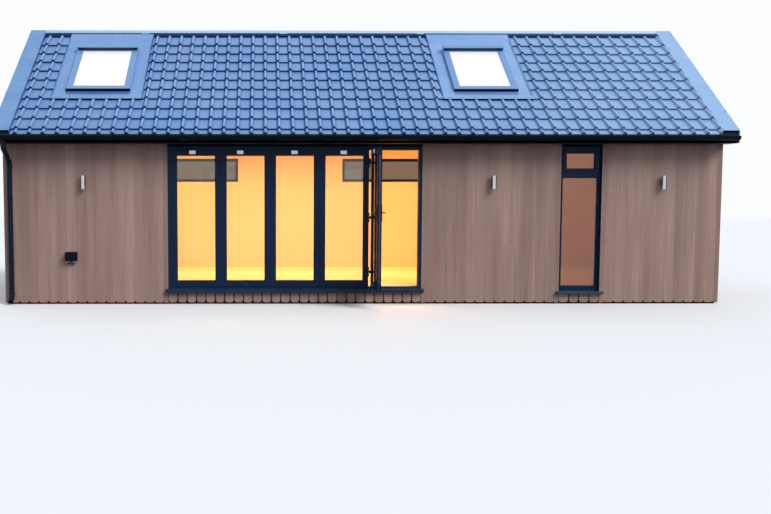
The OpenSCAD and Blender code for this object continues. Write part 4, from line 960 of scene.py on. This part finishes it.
camera = bpy.data.objects.new("camera", bpy.data.cameras.new("camera"))
bpy.context.scene.collection.objects.link(camera)
bpy.context.scene.camera = camera
cameraTurn, cameraDip = math.radians(0.42), math.radians(3.91)
camera.location = (-1.41, -13.56, 1.475)
direction = Vector((math.sin(cameraTurn) * math.cos(cameraDip), math.cos(cameraTurn) * math.cos(cameraDip),
                    -math.sin(cameraDip)))
camera.rotation_euler = direction.to_track_quat("-Z", "Y").to_euler()
camera.data.sensor_width = 36
camera.data.lens = 38.755
camera.data.shift_x = 0.1498
camera.data.clip_end = 400


def addLamp(name, kind, place, target, energy, colour, **settings):
    data = bpy.data.lights.new(name, kind)
    data.energy, data.color = energy, hexColour(colour)[:3]
    for key, value in settings.items():
        setattr(data, key, value)
    lamp = bpy.data.objects.new(name, data)
    lamp.location = place
    lamp.rotation_euler = (Vector(target) - Vector(place)).to_track_quat("-Z", "Y").to_euler()
    bpy.context.scene.collection.objects.link(lamp)


addLamp("key", "SUN", (22, -20, 24), (0, 0, 0), 2.15, "#ffffff", angle=math.radians(30))
roomLamps = [(-2.9, 57, "#ffc078", 136), (-1.0, 55, "#ffbe78", 136), (0.9, 57, "#ffb26c", 136),
             (3.4, 31, "#ffa272", 178)]
for number, (x, energy, colour, angle) in enumerate(roomLamps):
    addLamp(f"room_lamp_{number}", "AREA", (x, 0, 2.9), (x, 0.3, 0), energy, colour,
            shape="RECTANGLE", size=1.2, size_y=0.3, spread=math.radians(angle))

# The backdrop and the floor look pale to the camera and in reflections, and the floor bounces only a
# little light back up, so undersides stay dark
world = bpy.data.worlds.new("pale studio")
bpy.context.scene.world = world
world.use_nodes = True


def seenDirectly(tree):
    rays = addNode(tree, "LightPath").node.outputs
    seen = rays["Is Camera Ray"]
    for kind in ("Is Glossy Ray", "Is Transmission Ray"):
        seen = addNode(tree, "Math", {0: seen, 1: rays[kind]}, operation="MAXIMUM")
    return seen


worldTree = world.node_tree
soft, plain = (addNode(worldTree, "Background", {"Color": hexColour(colour), "Strength": strength})
               for colour, strength in (("#eef3fb", 0.68), ("#fcfdfe", 1.0)))  # lights the pod; is seen
backdrop = addNode(worldTree, "MixShader", {0: seenDirectly(worldTree), 1: soft, 2: plain})
worldTree.links.new(backdrop, worldTree.nodes["World Output"].inputs["Surface"])

ground = bpy.data.meshes.new("studio_floor")
ground.from_pydata([(-60, -60, 0), (60, -60, 0), (60, 60, 0), (-60, 60, 0)], [], [(0, 1, 2, 3)])
floorPale, floorTree, floorShader, _ = startMaterial("Pale studio floor", "#f0f2f4", Roughness=0.9)
floorBounce = addNode(floorTree, "BsdfDiffuse", {"Color": hexColour("#62656b")})
floorSeen = addNode(floorTree, "MixShader", {0: seenDirectly(floorTree), 1: floorBounce,
                                             2: floorShader.outputs[0]})
floorTree.links.new(floorSeen, floorTree.nodes["Material Output"].inputs["Surface"])
ground.materials.append(floorPale)
studioFloor = bpy.data.objects.new("studio_floor", ground)
bpy.context.scene.collection.objects.link(studioFloor)
bpy.context.scene.view_settings.view_transform = "Standard"
print("stage: camera and lamps")
